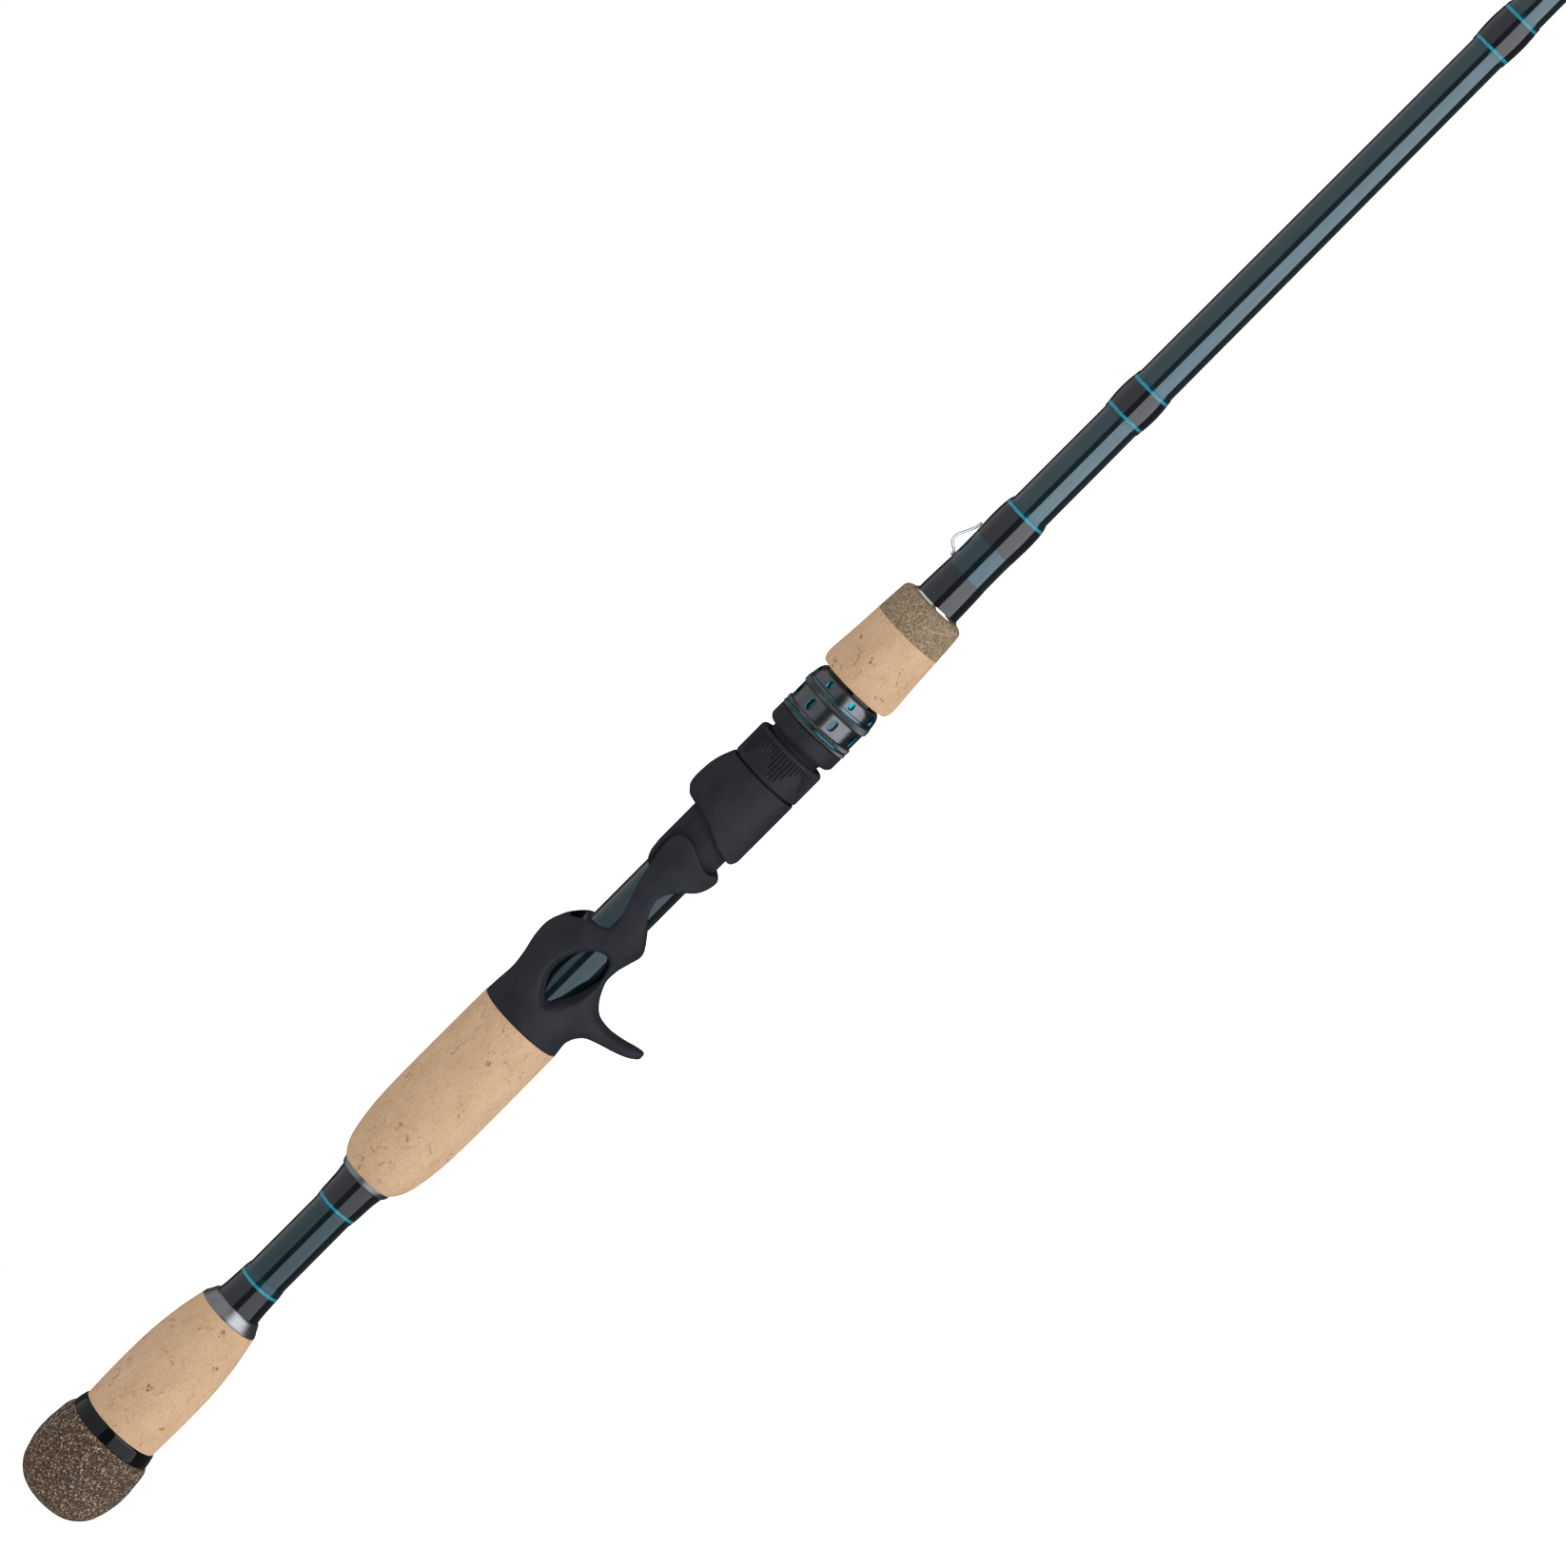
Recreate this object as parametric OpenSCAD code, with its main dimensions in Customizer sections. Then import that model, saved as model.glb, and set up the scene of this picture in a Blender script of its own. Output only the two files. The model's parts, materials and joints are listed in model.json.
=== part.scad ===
// Casting rod with a trigger handle, an open skeleton reel seat and ceramic-ring guides.
// +X runs from the butt to the tip and +Z is the side of the reel and the guides. The origin
// is the centre of the butt's end face. All sizes are in millimetres.

/* [Rod] */
// Length from the butt's end face to the front of the tip ring
rod_length = 1830; // [1800:10:1900]
// Blank radius inside the rear grip
blank_butt_r = 6.1; // [5.9:0.05:6.2]
// Blank radius just ahead of the hook keeper
blank_fore_r = 5.7; // [5.5:0.05:5.75]
// Blank radius at the tip
blank_tip_r = 0.95; // [0.8:0.05:1.1]
// Wall of the blank at the butt
blank_wall = 1.2; // [0.9:0.1:1.6]

/* [Grips] */
// Largest radius of the butt cap
cap_r = 14.9; // [14.5:0.1:15.5]
// Largest radius of the rear cork grip
rear_grip_r = 12.3; // [12:0.1:12.6]
// Largest radius of the main cork grip
main_grip_r = 12.95; // [12.8:0.05:13.2]
// Radius of the fore grip at its rear end
fore_grip_r = 11.85; // [11.5:0.05:12.2]
// Radius of the fore grip's speckled front end
fore_tip_r = 10; // [9.7:0.1:10.3]

/* [Reel seat] */
// Radius of the sleeve that shows through the seat's windows
core_r = 6.83; // [6.75:0.01:6.85]
// Radius of the threaded barrel in front of the seat body
barrel_r = 8.2; // [8.1:0.05:8.25]
// Height of the deck that the reel foot rests on, above the rod's axis
deck_z = 8; // [7.9:0.05:8.1]
// Half width of the deck
deck_half_w = 5.5; // [5:0.1:5.5]
// Outer radius of the seat body's arms, the hood and the locking nut
seat_r = 10.7; // [10.6:0.05:10.8]
// Height of the hood's dome above the axis
hood_top_z = 13.35; // [13.2:0.05:13.6]
// Sliding clearance between the hood and the barrel
hood_gap = 0.3; // [0.3:0.05:0.4]
// Radial clearance of the locking nut on the barrel
nut_fit = 0.06; // [0.03:0.01:0.09]
// Number of finger grooves round the locking nut
nut_grooves = 60; // [48:12:60]

/* [Lock ring] */
// Outer radius of the knurled bands
knurl_r = 11; // [10.9:0.05:11.1]
// Outer radius of the drum between the knurled bands
drum_r = 10.55; // [10.4:0.05:10.65]
// Number of windows round the drum
drum_windows = 8; // [8:2:8]

/* [Guides] */
// Outer diameters of the guide rings, from the butt to the tip
ring_sizes = [12, 10, 8, 7, 6, 6, 6];
// Distance of each guide ring behind the tip
ring_places = [1115, 870, 668, 500, 352, 222, 106];
// How many of the guides, counted from the butt, have two feet
two_footed = 3; // [1:1:4]
// Outer diameter of the tip ring
tip_ring_size = 6; // [6:0.5:7]

/* [Hidden] */
$fn = 48;
glue = 0.03;
cut = 0.5;
far = 30;

// Stations along the rod, measured from the butt
cap_end = 25.3;
cap_ring_end = 29.6;
rear_cork_end = 71.2;
rear_check_end = 75;
rear_wrap_end = 86;
mid_wrap_start = 111.5;
mid_wrap_end = 122.9;
main_check_end = 124.8;
seat_start = 183;
counterbore_start = 238.6;
core_end = 256;
pad_start = 237.5;
pad_end = 257.4;
rail_end = 268.2;
hood_front = 274.9;
nut_start = 275.3;
nut_end = 285.9;
lock_start = 287.9;
band_1_start = 293.1;
drum_start = 296.1;
drum_end = 301.2;
band_2_end = 304.1;
nose_end = 307.8;
fore_cork_start = 308.9;
fore_tip_start = 328.8;
fore_tip_end = 339;
fore_check_end = 339.8;
keeper_coat_start = 350.6;
keeper_coat_end = 361.1;
keeper_wrap_end = 374.3;
bands = [[407.9, 420.7], [542.2, 556.1]];
tip_x = rod_length - 2;
cap_land = [13.5, 17.5];

// ---- Curves and solids used by several pieces ----

// Radius of the blank at x
function blank_r(x) = lookup(x, [
    [0, blank_butt_r], [100, blank_butt_r - 0.1], [390, blank_fore_r], [560, 5.22],
    [1100, 3.3], [1500, 1.95], [rod_length, blank_tip_r]]);

// Catmull-Rom curve through rows of numbers, each span in the given steps
function curve(p, steps = 4) = [
    for (i = [0 : len(p) - 2]) for (k = [0 : steps - 1])
        let (t = k / steps, a = p[max(i - 1, 0)], b = p[i], c = p[i + 1],
             d = p[min(i + 2, len(p) - 1)])
        (2 * b + (c - a) * t + (2 * a - 5 * b + 4 * c - d) * t * t
            + (3 * b - a - 3 * c + d) * t * t * t) / 2,
    p[len(p) - 1]];

// A solid turned about the rod's axis from [x, radius] points
module turned(profile) {
    rotate([0, 90, 0]) rotate_extrude() polygon([for (p = profile) [p[1], p[0]]]);
}

// A solid turned about the rod's axis, glued onto the blank
module on_blank(profile) {
    first = profile[0][0];
    last = profile[len(profile) - 1][0];
    turned(concat(profile, [[last, blank_r(last) + glue], [first, blank_r(first) + glue]]));
}

// A plain ring round the rod's axis
module ring(start, end, outer, inner) {
    turned([[start, inner], [start, outer], [end, outer], [end, inner]]);
}

// An outline in the X-Z plane, cut or built through the whole width
module side_shape(points, width = 2 * far) {
    rotate([90, 0, 0]) linear_extrude(width, center = true) polygon(points);
}

// A cylinder along X
module rod_x(start, end, r) {
    translate([start, 0, 0]) rotate([0, 90, 0]) cylinder(h = end - start, r = r);
}

// A box from its two corners
module block(low, high) {
    translate(low) cube(high - low);
}

// Faces of a closed skin over rings of points, each ring with the given sides
function skin_faces(rings, sides) = concat(
    [[for (k = [sides - 1 : -1 : 0]) k], [for (k = [0 : sides - 1]) (rings - 1) * sides + k]],
    [for (i = [0 : rings - 2]) for (k = [0 : sides - 1])
        let (a = i * sides + k, b = i * sides + (k + 1) % sides)
        [a, b, b + sides, a + sides]]);

// Superellipse: a blend between a round and a square section
function blend_circle(angle, power = 2.25) = [
    sign(cos(angle)) * pow(abs(cos(angle)), 2 / power),
    sign(sin(angle)) * pow(abs(sin(angle)), 2 / power)];

// A smooth body along X from rows of [x, top, bottom, half width]
module body_along_x(rows, sides = 32) {
    rings = [for (s = rows) [for (k = [0 : sides - 1])
        let (e = blend_circle(360 * k / sides))
        [s[0], e[0] * s[3], (s[1] + s[2]) / 2 + e[1] * (s[1] - s[2]) / 2]]];
    polyhedron([for (r = rings) each r], skin_faces(len(rings), sides));
}

// A round wire along a path that stays off the Y direction
module wire(path, r, sides = 8) {
    last = len(path) - 1;
    rings = [for (i = [0 : last])
        let (d = path[min(i + 1, last)] - path[max(i - 1, 0)], along = d / norm(d),
             s = cross(along, [0, 1, 0]), side = s / norm(s), up = cross(side, along))
        [for (k = [0 : sides - 1])
            path[i] + r * (cos(360 * k / sides) * side + sin(360 * k / sides) * up)]];
    polyhedron([for (q = rings) each q], skin_faces(len(rings), sides));
}

// ---- Handle ----

module blank() {
    bore_end = 1500;
    color("#2f3d45") difference() {
        turned([[5, 0], [5, blank_r(5)], [100, blank_r(100)], [390, blank_r(390)],
            [560, blank_r(560)], [1100, blank_r(1100)], [1500, blank_r(1500)],
            [tip_x - 2, blank_r(tip_x - 2)], [tip_x - 2, 0]]);
        turned([[4, 0], [4, blank_r(0) - blank_wall], [bore_end, 0.9], [bore_end, 0]]);
    }
}

// Outline of the butt cap behind its widest land
cap_rear = [
    [0, 5.2], [0.5, 7.4], [1.4, 9.2], [2.4, 10.5], [3.4, 11.45], [4.5, 12.35], [6, 13.1],
    [8, 13.72], [10, 14.28], [12, 14.7], [cap_land[0], cap_r]];

// Outline of the butt cap ahead of its widest land
cap_front = [
    [cap_land[1], cap_r], [19, 14.74], [21, 14.54], [23, 14.35], [24.3, 14.15], [25, 13.8],
    [cap_end, 13.3]];

module butt_cap() {
    color("#5b4636") difference() {
        turned(concat([[0, 0]], curve(cap_rear, 2), cap_front, [[cap_end, 0]]));
        rod_x(4.5, cap_end + cut, blank_butt_r + glue);
    }
}

module butt_ring() {
    color("#16181a") on_blank([
        [cap_end + glue, 12.95], [cap_end + 0.3, 13.2], [27.6, 12.85], [29.3, 12.4],
        [cap_ring_end, 11.9]]);
}

module rear_grip() {
    color("#c9a67c") on_blank(curve([
        [cap_ring_end + glue, 12.05], [36, rear_grip_r - 0.05], [44, rear_grip_r],
        [52.5, 12.1], [57.7, 11.65], [62.8, 11], [67.5, 10.15], [rear_cork_end, 9.35]]));
}

module rear_check() {
    color("#7d8286") on_blank([
        [rear_cork_end + glue, 9.25], [rear_cork_end + 0.5, 9.3], [73, 8.55],
        [rear_check_end - 0.4, 7.75], [rear_check_end, 7.3]]);
}

// A thread wrap under clear finish, with a groove for its coloured trim
module wrap_with_groove(profile, groove) {
    difference() {
        on_blank(profile);
        ring(groove[0], groove[1], 9, groove[2]);
    }
}

module rear_wrap() {
    color("#101214") wrap_with_groove([
        [rear_check_end + glue, 7.05], [77.5, 6.75], [82, 6.5], [84.3, 6.42],
        [rear_wrap_end, blank_r(86) + 0.1]], [82.7, 84, 6.2]);
}

module rear_trim() {
    color("#1fa9c4") ring(82.7 + glue / 3, 84 - glue / 3, 6.47, 6.2 + glue / 3);
}

module mid_wrap() {
    color("#101214") wrap_with_groove([
        [mid_wrap_start, blank_r(111) + 0.1], [113, 6.33], [119.6, 6.65], [121.8, 7],
        [mid_wrap_end, 7.15]], [112.3, 113.7, 6.2]);
}

module mid_trim() {
    color("#1fa9c4") ring(112.3 + glue / 3, 113.7 - glue / 3, 6.4, 6.2 + glue / 3);
}

module main_check() {
    color("#6d7174") on_blank([
        [mid_wrap_end + glue, 7.45], [123.2, 7.7], [124.4, 8.1], [main_check_end, 8.1]]);
}

module main_grip() {
    color("#c9a67c") on_blank(curve([
        [main_check_end + glue, 8.2], [126.6, 9.6], [129.8, 10.95], [135, 11.95],
        [140.1, 12.55], [147, 12.87], [158, main_grip_r], [172, main_grip_r - 0.05],
        [seat_start - glue, 12.8]]));
}

// ---- Reel seat ----

module seat_core() {
    color("#34464f") on_blank([[seat_start + 0.6, core_r], [core_end, core_r]]);
}

// The seat body is turned about the rod's axis: its upper half is higher than its lower half
seat_round = [
    [seat_start, 12.75], [189, 12.45], [194, 12.5], [198, 13.1], [202, 13.75], [206, 14.05],
    [208.5, 13.7], [211.4, 12.5], [214.5, 11.3], [218, seat_r], [251.2, seat_r]];
seat_low = [
    [seat_start - 1, 12.8], [187.5, 12.4], [192, 12], [197, 11], [201.8, 9.6], [205.7, 8.85],
    [208.4, 8.8], [211.4, 9.1], [214.5, 9.7], [218.5, 10.5], [222, seat_r], [252, seat_r]];

// Half width of the seat body where it narrows for the palm
seat_waist = [
    [182, 14], [186.4, 12.9], [189, 11.9], [192.3, 10.7], [197, 9.6], [201.8, 9.1], [205.7, 8.9],
    [208.4, 8.9], [211.4, 9.1], [214.5, 9.6], [218.5, 10.4], [222, 10.9], [224, 12]];

// The trigger from the side, and its half widths down its height
trigger_side = concat(
    [[206, -5]],
    curve([[204.4, -8.5], [200.2, -11.7], [198.4, -15.5], [198.2, -19.5], [199.5, -26],
        [200.1, -28.2], [198.8, -29.3], [197.3, -28.4], [194.7, -22.8], [192.7, -16.6],
        [190.6, -12.9], [187, -11.6]], 3),
    [[187, -5]]);
trigger_widths = [[-5, 8.4], [-9, 7.6], [-11, 6.4], [-14, 5], [-20, 4.1], [-26, 3.4], [-30, 1.6]];

// Opening in the seat's top, and the S-shaped front edge of its arms
top_opening = concat(
    curve([[210.3, 14], [213.9, 10.3], [216.3, 7.1], [217, 4], [219.2, 1.4], [223.7, 1.7],
        [232.7, 4.6], [241.1, 6.4], [246.5, 6.9], [250, 5.6], [250.6, 2.5], [248.6, -2.4],
        [247.2, -6.2], [247.8, -9], [246.4, -11.2]]),
    [[262, -12], [262, far], [208, far]]);

// Arch cut under the arms
bottom_opening = concat(
    curve([[217.6, -11.6], [221.9, -8.4], [226.2, -4.85], [230.6, -2.4], [234.4, -2.1],
        [238.3, -4.7], [241.4, -8.7], [245.4, -11.6]]),
    [[245.4, -14], [217.6, -14]]);

// Window in each side of the seat body
side_window = curve([
    [193.1, -0.1], [197, 2.4], [201.2, 3.3], [206.4, 2.2], [210.6, -0.4], [212.5, -3.1],
    [211.2, -5.3], [206.4, -6.6], [200.4, -5], [196, -2.6], [193.1, -0.1]]);

pocket_floor = 7.25;
pocket_half_w = 7.2;

// Space for one end of the reel foot, with an arched roof
module foot_pocket(start, end, low, high, half_w, spring_z, arch_r) {
    intersection() {
        block([start, -half_w, low], [end, half_w, high]);
        translate([0, 0, spring_z]) rod_x(start - 1, end + 1, arch_r);
    }
}

module trigger() {
    intersection() {
        side_shape(trigger_side);
        rotate([90, 0, 90]) linear_extrude(250) polygon(concat(
            [for (w = trigger_widths) [w[1], w[0]]],
            [for (i = [len(trigger_widths) - 1 : -1 : 0])
                [-trigger_widths[i][1], trigger_widths[i][0]]]));
    }
}

module seat_body() {
    color("#232527") difference() {
        union() {
            difference() {
                turned(concat([[seat_start, 0]], seat_round, [[251.2, 0]]));
                difference() {
                    block([seat_start - 0.5, -far, -far], [251.5, far, 0]);
                    turned(concat([[seat_start - 1, 0]], curve(seat_low, 2), [[252, 0]]));
                }
                for (side = [-1, 1])
                    linear_extrude(2 * far, center = true) polygon(concat(
                        [for (p = curve(seat_waist, 2)) [p[0], side * p[1]]],
                        [[224, side * far], [182, side * far]]));
            }
            trigger();
        }
        rod_x(seat_start - 1, counterbore_start, core_r + glue);
        rod_x(counterbore_start, core_end, barrel_r + 0.1 + glue);
        side_shape(top_opening);
        side_shape(bottom_opening);
        side_shape(side_window);
        block([pad_start - 1, -deck_half_w - 0.1, 2], [core_end, deck_half_w + 0.1, far]);
        foot_pocket(199.6, 218, pocket_floor, 11.7, pocket_half_w, 2.7, 10);
    }
}

module pocket_liner() {
    color("#3a3d40") block([200, -6.8, pocket_floor + glue], [216, 6.8, 7.6]);
}

// Everything above the deck pad and the rail that the hood slides on
rail_z = deck_z - 0.15;
above_deck = [
    [pad_start - 1, 5], [pad_start, 5], [pad_start + 0.5, 6.9], [239.6, 7.6], [243.2, deck_z],
    [pad_end, deck_z], [pad_end, rail_z - 0.15], [pad_end + 0.6, rail_z - 0.15],
    [pad_end + 0.6, rail_z], [rail_end, rail_z], [rail_end, 20], [pad_start - 1, 20]];

module seat_barrel() {
    color("#1b1c1e") difference() {
        union() {
            rod_x(counterbore_start + glue, 258, barrel_r + 0.1);
            rod_x(257, fore_cork_start - glue, barrel_r);
            intersection() {
                block([pad_start, -deck_half_w, 3], [rail_end, deck_half_w, 9]);
                rod_x(pad_start - 1, rail_end + 1, 9.75);
            }
        }
        side_shape(above_deck);
        turned([[pad_start - 1, 0], [pad_start - 1, core_r + glue], [core_end + 0.1, core_r + glue],
            [core_end + 0.1, blank_r(core_end) + glue], [310, blank_r(310) + glue], [310, 0]]);
    }
}

// ---- Sliding hood and locking nut ----

hood_rows = [
    [252, hood_top_z, -seat_r, seat_r], [265, hood_top_z, -seat_r, seat_r],
    [268.4, 13.05, -seat_r, seat_r], [271.4, 12.2, -seat_r, seat_r],
    [hood_front, 10.8, -seat_r, seat_r]];

hood_pocket_end = 267.8;
travel_back = 4;

// Everything behind the hood's S-shaped rear edge
hood_rear_cut = concat(
    curve([[262.4, 14.2], [260.2, 13.1], [258.8, 11.6], [258.4, 8.2], [258.1, 5.35], [257, 2.1],
        [255.7, -0.15], [254.2, -3], [253.1, -6.4], [252.6, -9.2], [253.9, -11]]),
    [[250, -12], [250, far], [262.4, far]]);

module hood_shell() {
    roof_z = 12.5;
    color("#232527") difference() {
        body_along_x(curve(hood_rows, 3));
        side_shape(hood_rear_cut);
        rod_x(250, 276, barrel_r + 0.1 + hood_gap);
        block([250, -deck_half_w - hood_gap, 0],
            [rail_end + travel_back + 0.4, deck_half_w + hood_gap, rail_z + hood_gap]);
        foot_pocket(250, hood_pocket_end, 4, roof_z, 7.2, roof_z - 8, 8.6);
        rod_x(272.5, 276, 9.75);
    }
}

module hood_liner() {
    lined_to = 12.47;
    thickness = 0.33;
    color("#3a3d40") difference() {
        foot_pocket(259.8, hood_pocket_end - 0.1, 9.2, lined_to, 7.17, lined_to - 8, 8.57);
        foot_pocket(259, 272, 9, lined_to - thickness, 7.17 - thickness, lined_to - 8, 8.57 - thickness);
    }
}

// Where each finger groove starts: the grooves' ends draw six waves round the nut
function groove_start(angle) = 276.7 + 6.2 * (0.5 - 0.5 * cos(6 * angle));

module locking_nut() {
    bore = barrel_r + nut_fit;
    groove_end = 284.7;
    groove_w = 0.55;
    groove_depth = 0.5;
    color("#1d1f21") difference() {
        turned([[272.9, bore], [272.9, 9.4], [nut_start, 9.4], [nut_start, 10.4],
            [nut_start + 0.3, seat_r], [285, seat_r], [285.6, seat_r - 0.3], [nut_end, 10],
            [nut_end, 9], [nut_end - 0.5, bore]]);
        for (k = [0 : nut_grooves - 1]) {
            angle = 360 * k / nut_grooves;
            rotate([angle, 0, 0])
                block([groove_start(angle), -seat_r - 1, -groove_w / 2],
                    [groove_end, -seat_r + groove_depth, groove_w / 2]);
        }
    }
}

// ---- Lock ring ahead of the nut ----

module lock_base() {
    color("#1d1f21") turned([[lock_start, barrel_r + glue], [lock_start, 9.9],
        [lock_start + 0.5, 10.4], [289, 10.85], [band_1_start - glue, 10.85],
        [band_1_start - glue, barrel_r + glue]]);
}

window_phase = 12;

// Windows through the drum, rounded at both ends along the rod
module drum_window(angle) {
    half_slot = 0.6;
    window_r = 1.15;
    middle = (drum_start + drum_end) / 2;
    rotate([angle, 0, 0]) {
        for (side = [-1, 1])
            translate([middle + side * half_slot, 0, 0])
                rotate([90, 0, 0]) cylinder(h = 2 * far, r = window_r, center = true);
        block([middle - half_slot, -far, -window_r], [middle + half_slot, far, window_r]);
    }
}

module lock_drum() {
    inner = 9.6;
    color("#55595c") difference() {
        turned([[band_1_start, inner], [band_1_start, 10.8], [293.4, knurl_r],
            [294.1, knurl_r], [294.3, 10.75], [294.7, 10.75], [294.9, knurl_r], [295.8, knurl_r],
            [drum_start, drum_r], [drum_end, drum_r], [301.5, knurl_r], [303.2, knurl_r],
            [303.5, 10.75], [band_2_end, 10.75], [band_2_end, inner]]);
        for (k = [0 : drum_windows / 2 - 1]) drum_window(window_phase + 360 * k / drum_windows);
    }
}

module lock_sleeve() {
    color("#27404e") ring(band_1_start, band_2_end, 9.6 - glue, barrel_r + glue);
}

module lock_nose() {
    hole_r = 0.85;
    color("#4a4e51") difference() {
        turned(concat([[band_2_end + glue, barrel_r + glue]],
            curve([[band_2_end + glue, 10.7], [305.2, 10.6], [306.6, 10.25], [nose_end, 9.55]]),
            [[nose_end, barrel_r + glue]]));
        for (k = [0 : 3])
            rotate([window_phase + 45 * k, 0, 0])
                translate([305.95, 0, 0])
                    rotate([90, 0, 0])
                        difference() {
                            cylinder(h = 2 * far, r = hole_r, center = true);
                            cylinder(h = 19, r = hole_r + 1, center = true);
                        }
    }
}

module accent_rings() {
    color("#2aa7b8") {
        ring(294.32, 294.68, 10.9, 10.75 + glue / 3);
        ring(303.52, 303.98, 10.9, 10.75 + glue / 3);
    }
}

module lock_spacer() {
    color("#0f1011") ring(nose_end + glue, fore_cork_start - glue, 9, barrel_r + glue);
}

module fore_grip() {
    color("#c9a67c") on_blank(curve([
        [fore_cork_start, 11], [309.6, 11.6], [311.2, fore_grip_r - 0.05], [317.6, 11.28],
        [322.6, 10.95], [fore_tip_start, 10.62]]));
}

module fore_tip() {
    color("#a98f68") on_blank(concat(
        [[fore_tip_start + glue, 10.6]],
        curve([[329.2, 10.6], [334, 10.3], [337.2, fore_tip_r + 0.06], [338.4, 9.7],
            [fore_tip_end, 8.6]])));
}

module fore_check() {
    color("#9a9ea1") on_blank([
        [fore_tip_end + glue, 7.35], [fore_tip_end + 0.3, 7.5], [fore_check_end, 7.1]]);
}

// ---- Hook keeper and decorative bands ----

module keeper_wrap_rear() {
    color("#101214") on_blank([
        [fore_check_end + glue, 6.8], [342.6, 6.75], [347.6, 6.6],
        [keeper_coat_start - glue, 6.45]]);
}

module keeper_coat() {
    color("#34464f") on_blank([
        [keeper_coat_start, 6.42], [356, 6.36], [keeper_coat_end, 6.42]]);
}

module keeper_wrap_front() {
    color("#101214") wrap_with_groove([
        [keeper_coat_end + glue, 6.45], [366, 6.65], [370, 6.6], [373.2, 6.3],
        [keeper_wrap_end, blank_r(374) + 0.1]], [371.8, 373.1, 6.15]);
}

module keeper_trim() {
    color("#1fa9c4") ring(371.8 + glue / 3, 373.1 - glue / 3, 6.42, 6.15 + glue / 3);
}

module hook_keeper() {
    color("#c9ccce") wire([for (p = curve([
        [352, 6.75], [353, 7], [353.8, 8.2], [354.6, 9.1], [355.7, 9.4], [357.3, 9.05],
        [359.8, 7.9], [361.6, 7.15], [363, 7]], 5)) [p[0], 0, p[1]]], 0.5);
}

// Lens-shaped wrap with a groove near each end
module band_wrap(span, crown) {
    middle = (span[0] + span[1]) / 2;
    half = (span[1] - span[0]) / 2;
    rise = crown - blank_r(middle) - 0.1;
    color("#101214") difference() {
        on_blank([for (i = [-6 : 6])
            [middle + half * i / 6, blank_r(middle + half * i / 6) + 0.1 + rise * cos(14 * i)]]);
        for (side = [-1, 1]) {
            place = middle + side * (half - 1.6);
            ring(place - 0.6, place + 0.6, 9, crown - 0.35);
        }
    }
}

module band_trim(span, crown) {
    middle = (span[0] + span[1]) / 2;
    half = (span[1] - span[0]) / 2;
    color("#1fa9c4") for (side = [-1, 1]) {
        place = middle + side * (half - 1.6);
        ring(place - 0.59, place + 0.59, crown - 0.14, crown - 0.34);
    }
}

crown_a = 6.33;
crown_b = 5.85;

// ---- Guides ----

function ring_x(k) = tip_x - ring_places[k - 1];
function ring_r(k) = ring_sizes[k - 1] / 2;
function ring_wall(r) = 0.55 + 0.12 * r;
// Space between the blank and the holder of the ring
function stand_off(r) = 0.55 * r - 0.4;
function ring_z(k) = blank_r(ring_x(k)) + stand_off(ring_r(k)) + holder_wall + ring_r(k);
holder_wall = 0.7;
foot_half_w = 0.8;
foot_h = 0.55;

// Ceramic ring with a short straight bore, about its own axis along X
module ceramic_ring(x, z, r) {
    half_t = 0.35 + 0.1 * r;
    bore = r - ring_wall(r);
    land = 0.35;
    color("#2b2e33") translate([x, 0, z]) turned([
        [-land, bore], [-half_t * 0.8, bore + 0.2], [-half_t, bore + ring_wall(r) * 0.5],
        [-half_t * 0.8, r - 0.15], [-half_t * 0.4, r], [half_t * 0.4, r],
        [half_t * 0.8, r - 0.15], [half_t, bore + ring_wall(r) * 0.5],
        [half_t * 0.8, bore + 0.2], [land, bore]]);
}

// One foot that lies on the blank, tapering to its end at toe_x
module foot(heel_x, toe_x) {
    low = min(blank_r(heel_x), blank_r(toe_x)) + 0.02;
    high = max(blank_r(heel_x), blank_r(toe_x)) + 0.1;
    side_shape([[heel_x, high], [toe_x, high], [toe_x, high + 0.15],
        [heel_x, high + foot_h]], 2 * foot_half_w);
}

// Wire legs from both sides of the holder to a heel on the blank
module legs(x, z, r, heel_x) {
    leg_r = 0.32 + 0.03 * r;
    reach = r + leg_r + 0.06;
    floor_z = blank_r(heel_x) + 0.1 + foot_h / 2;
    for (side = [-1, 1])
        wire(curve([
            [x, side * reach * cos(8), z - reach * sin(8)],
            [x + (heel_x - x) * 0.28, side * reach * 0.82, z - reach * 0.62],
            [x + (heel_x - x) * 0.66, side * reach * 0.42, (z - reach + floor_z) / 2],
            [heel_x, side * 0.3, floor_z]], 3), leg_r);
}

module guide_frame(k) {
    x = ring_x(k);
    r = ring_r(k);
    z = ring_z(k);
    heel = 1.15 * r + 1.5;
    toe = heel + 5 + 0.5 * r;
    color("#3b3e42") {
        translate([x, 0, z]) ring(-0.55, 0.55, r + holder_wall, r + glue / 2);
        legs(x, z, r, x - heel);
        foot(x - heel, x - toe);
        if (k <= two_footed) {
            legs(x, z, r, x + heel);
            foot(x + heel, x + toe);
        }
    }
}

// Thread wrap over one foot, with room for the foot inside it
module foot_wrap(heel_x, toe_x) {
    start = min(heel_x, toe_x);
    end = max(heel_x, toe_x);
    middle = (start + end) / 2;
    high = max(blank_r(start), blank_r(end)) + foot_h + 0.15;
    difference() {
        on_blank([[start, blank_r(start) + 0.15], [start + 1, blank_r(start) + 0.75],
            [middle, blank_r(middle) + 0.95], [end - 1, blank_r(end) + 0.75],
            [end, blank_r(end) + 0.15]]);
        block([start - 1, -foot_half_w - 0.05, 0], [end + 1, foot_half_w + 0.05, high]);
    }
}

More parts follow.
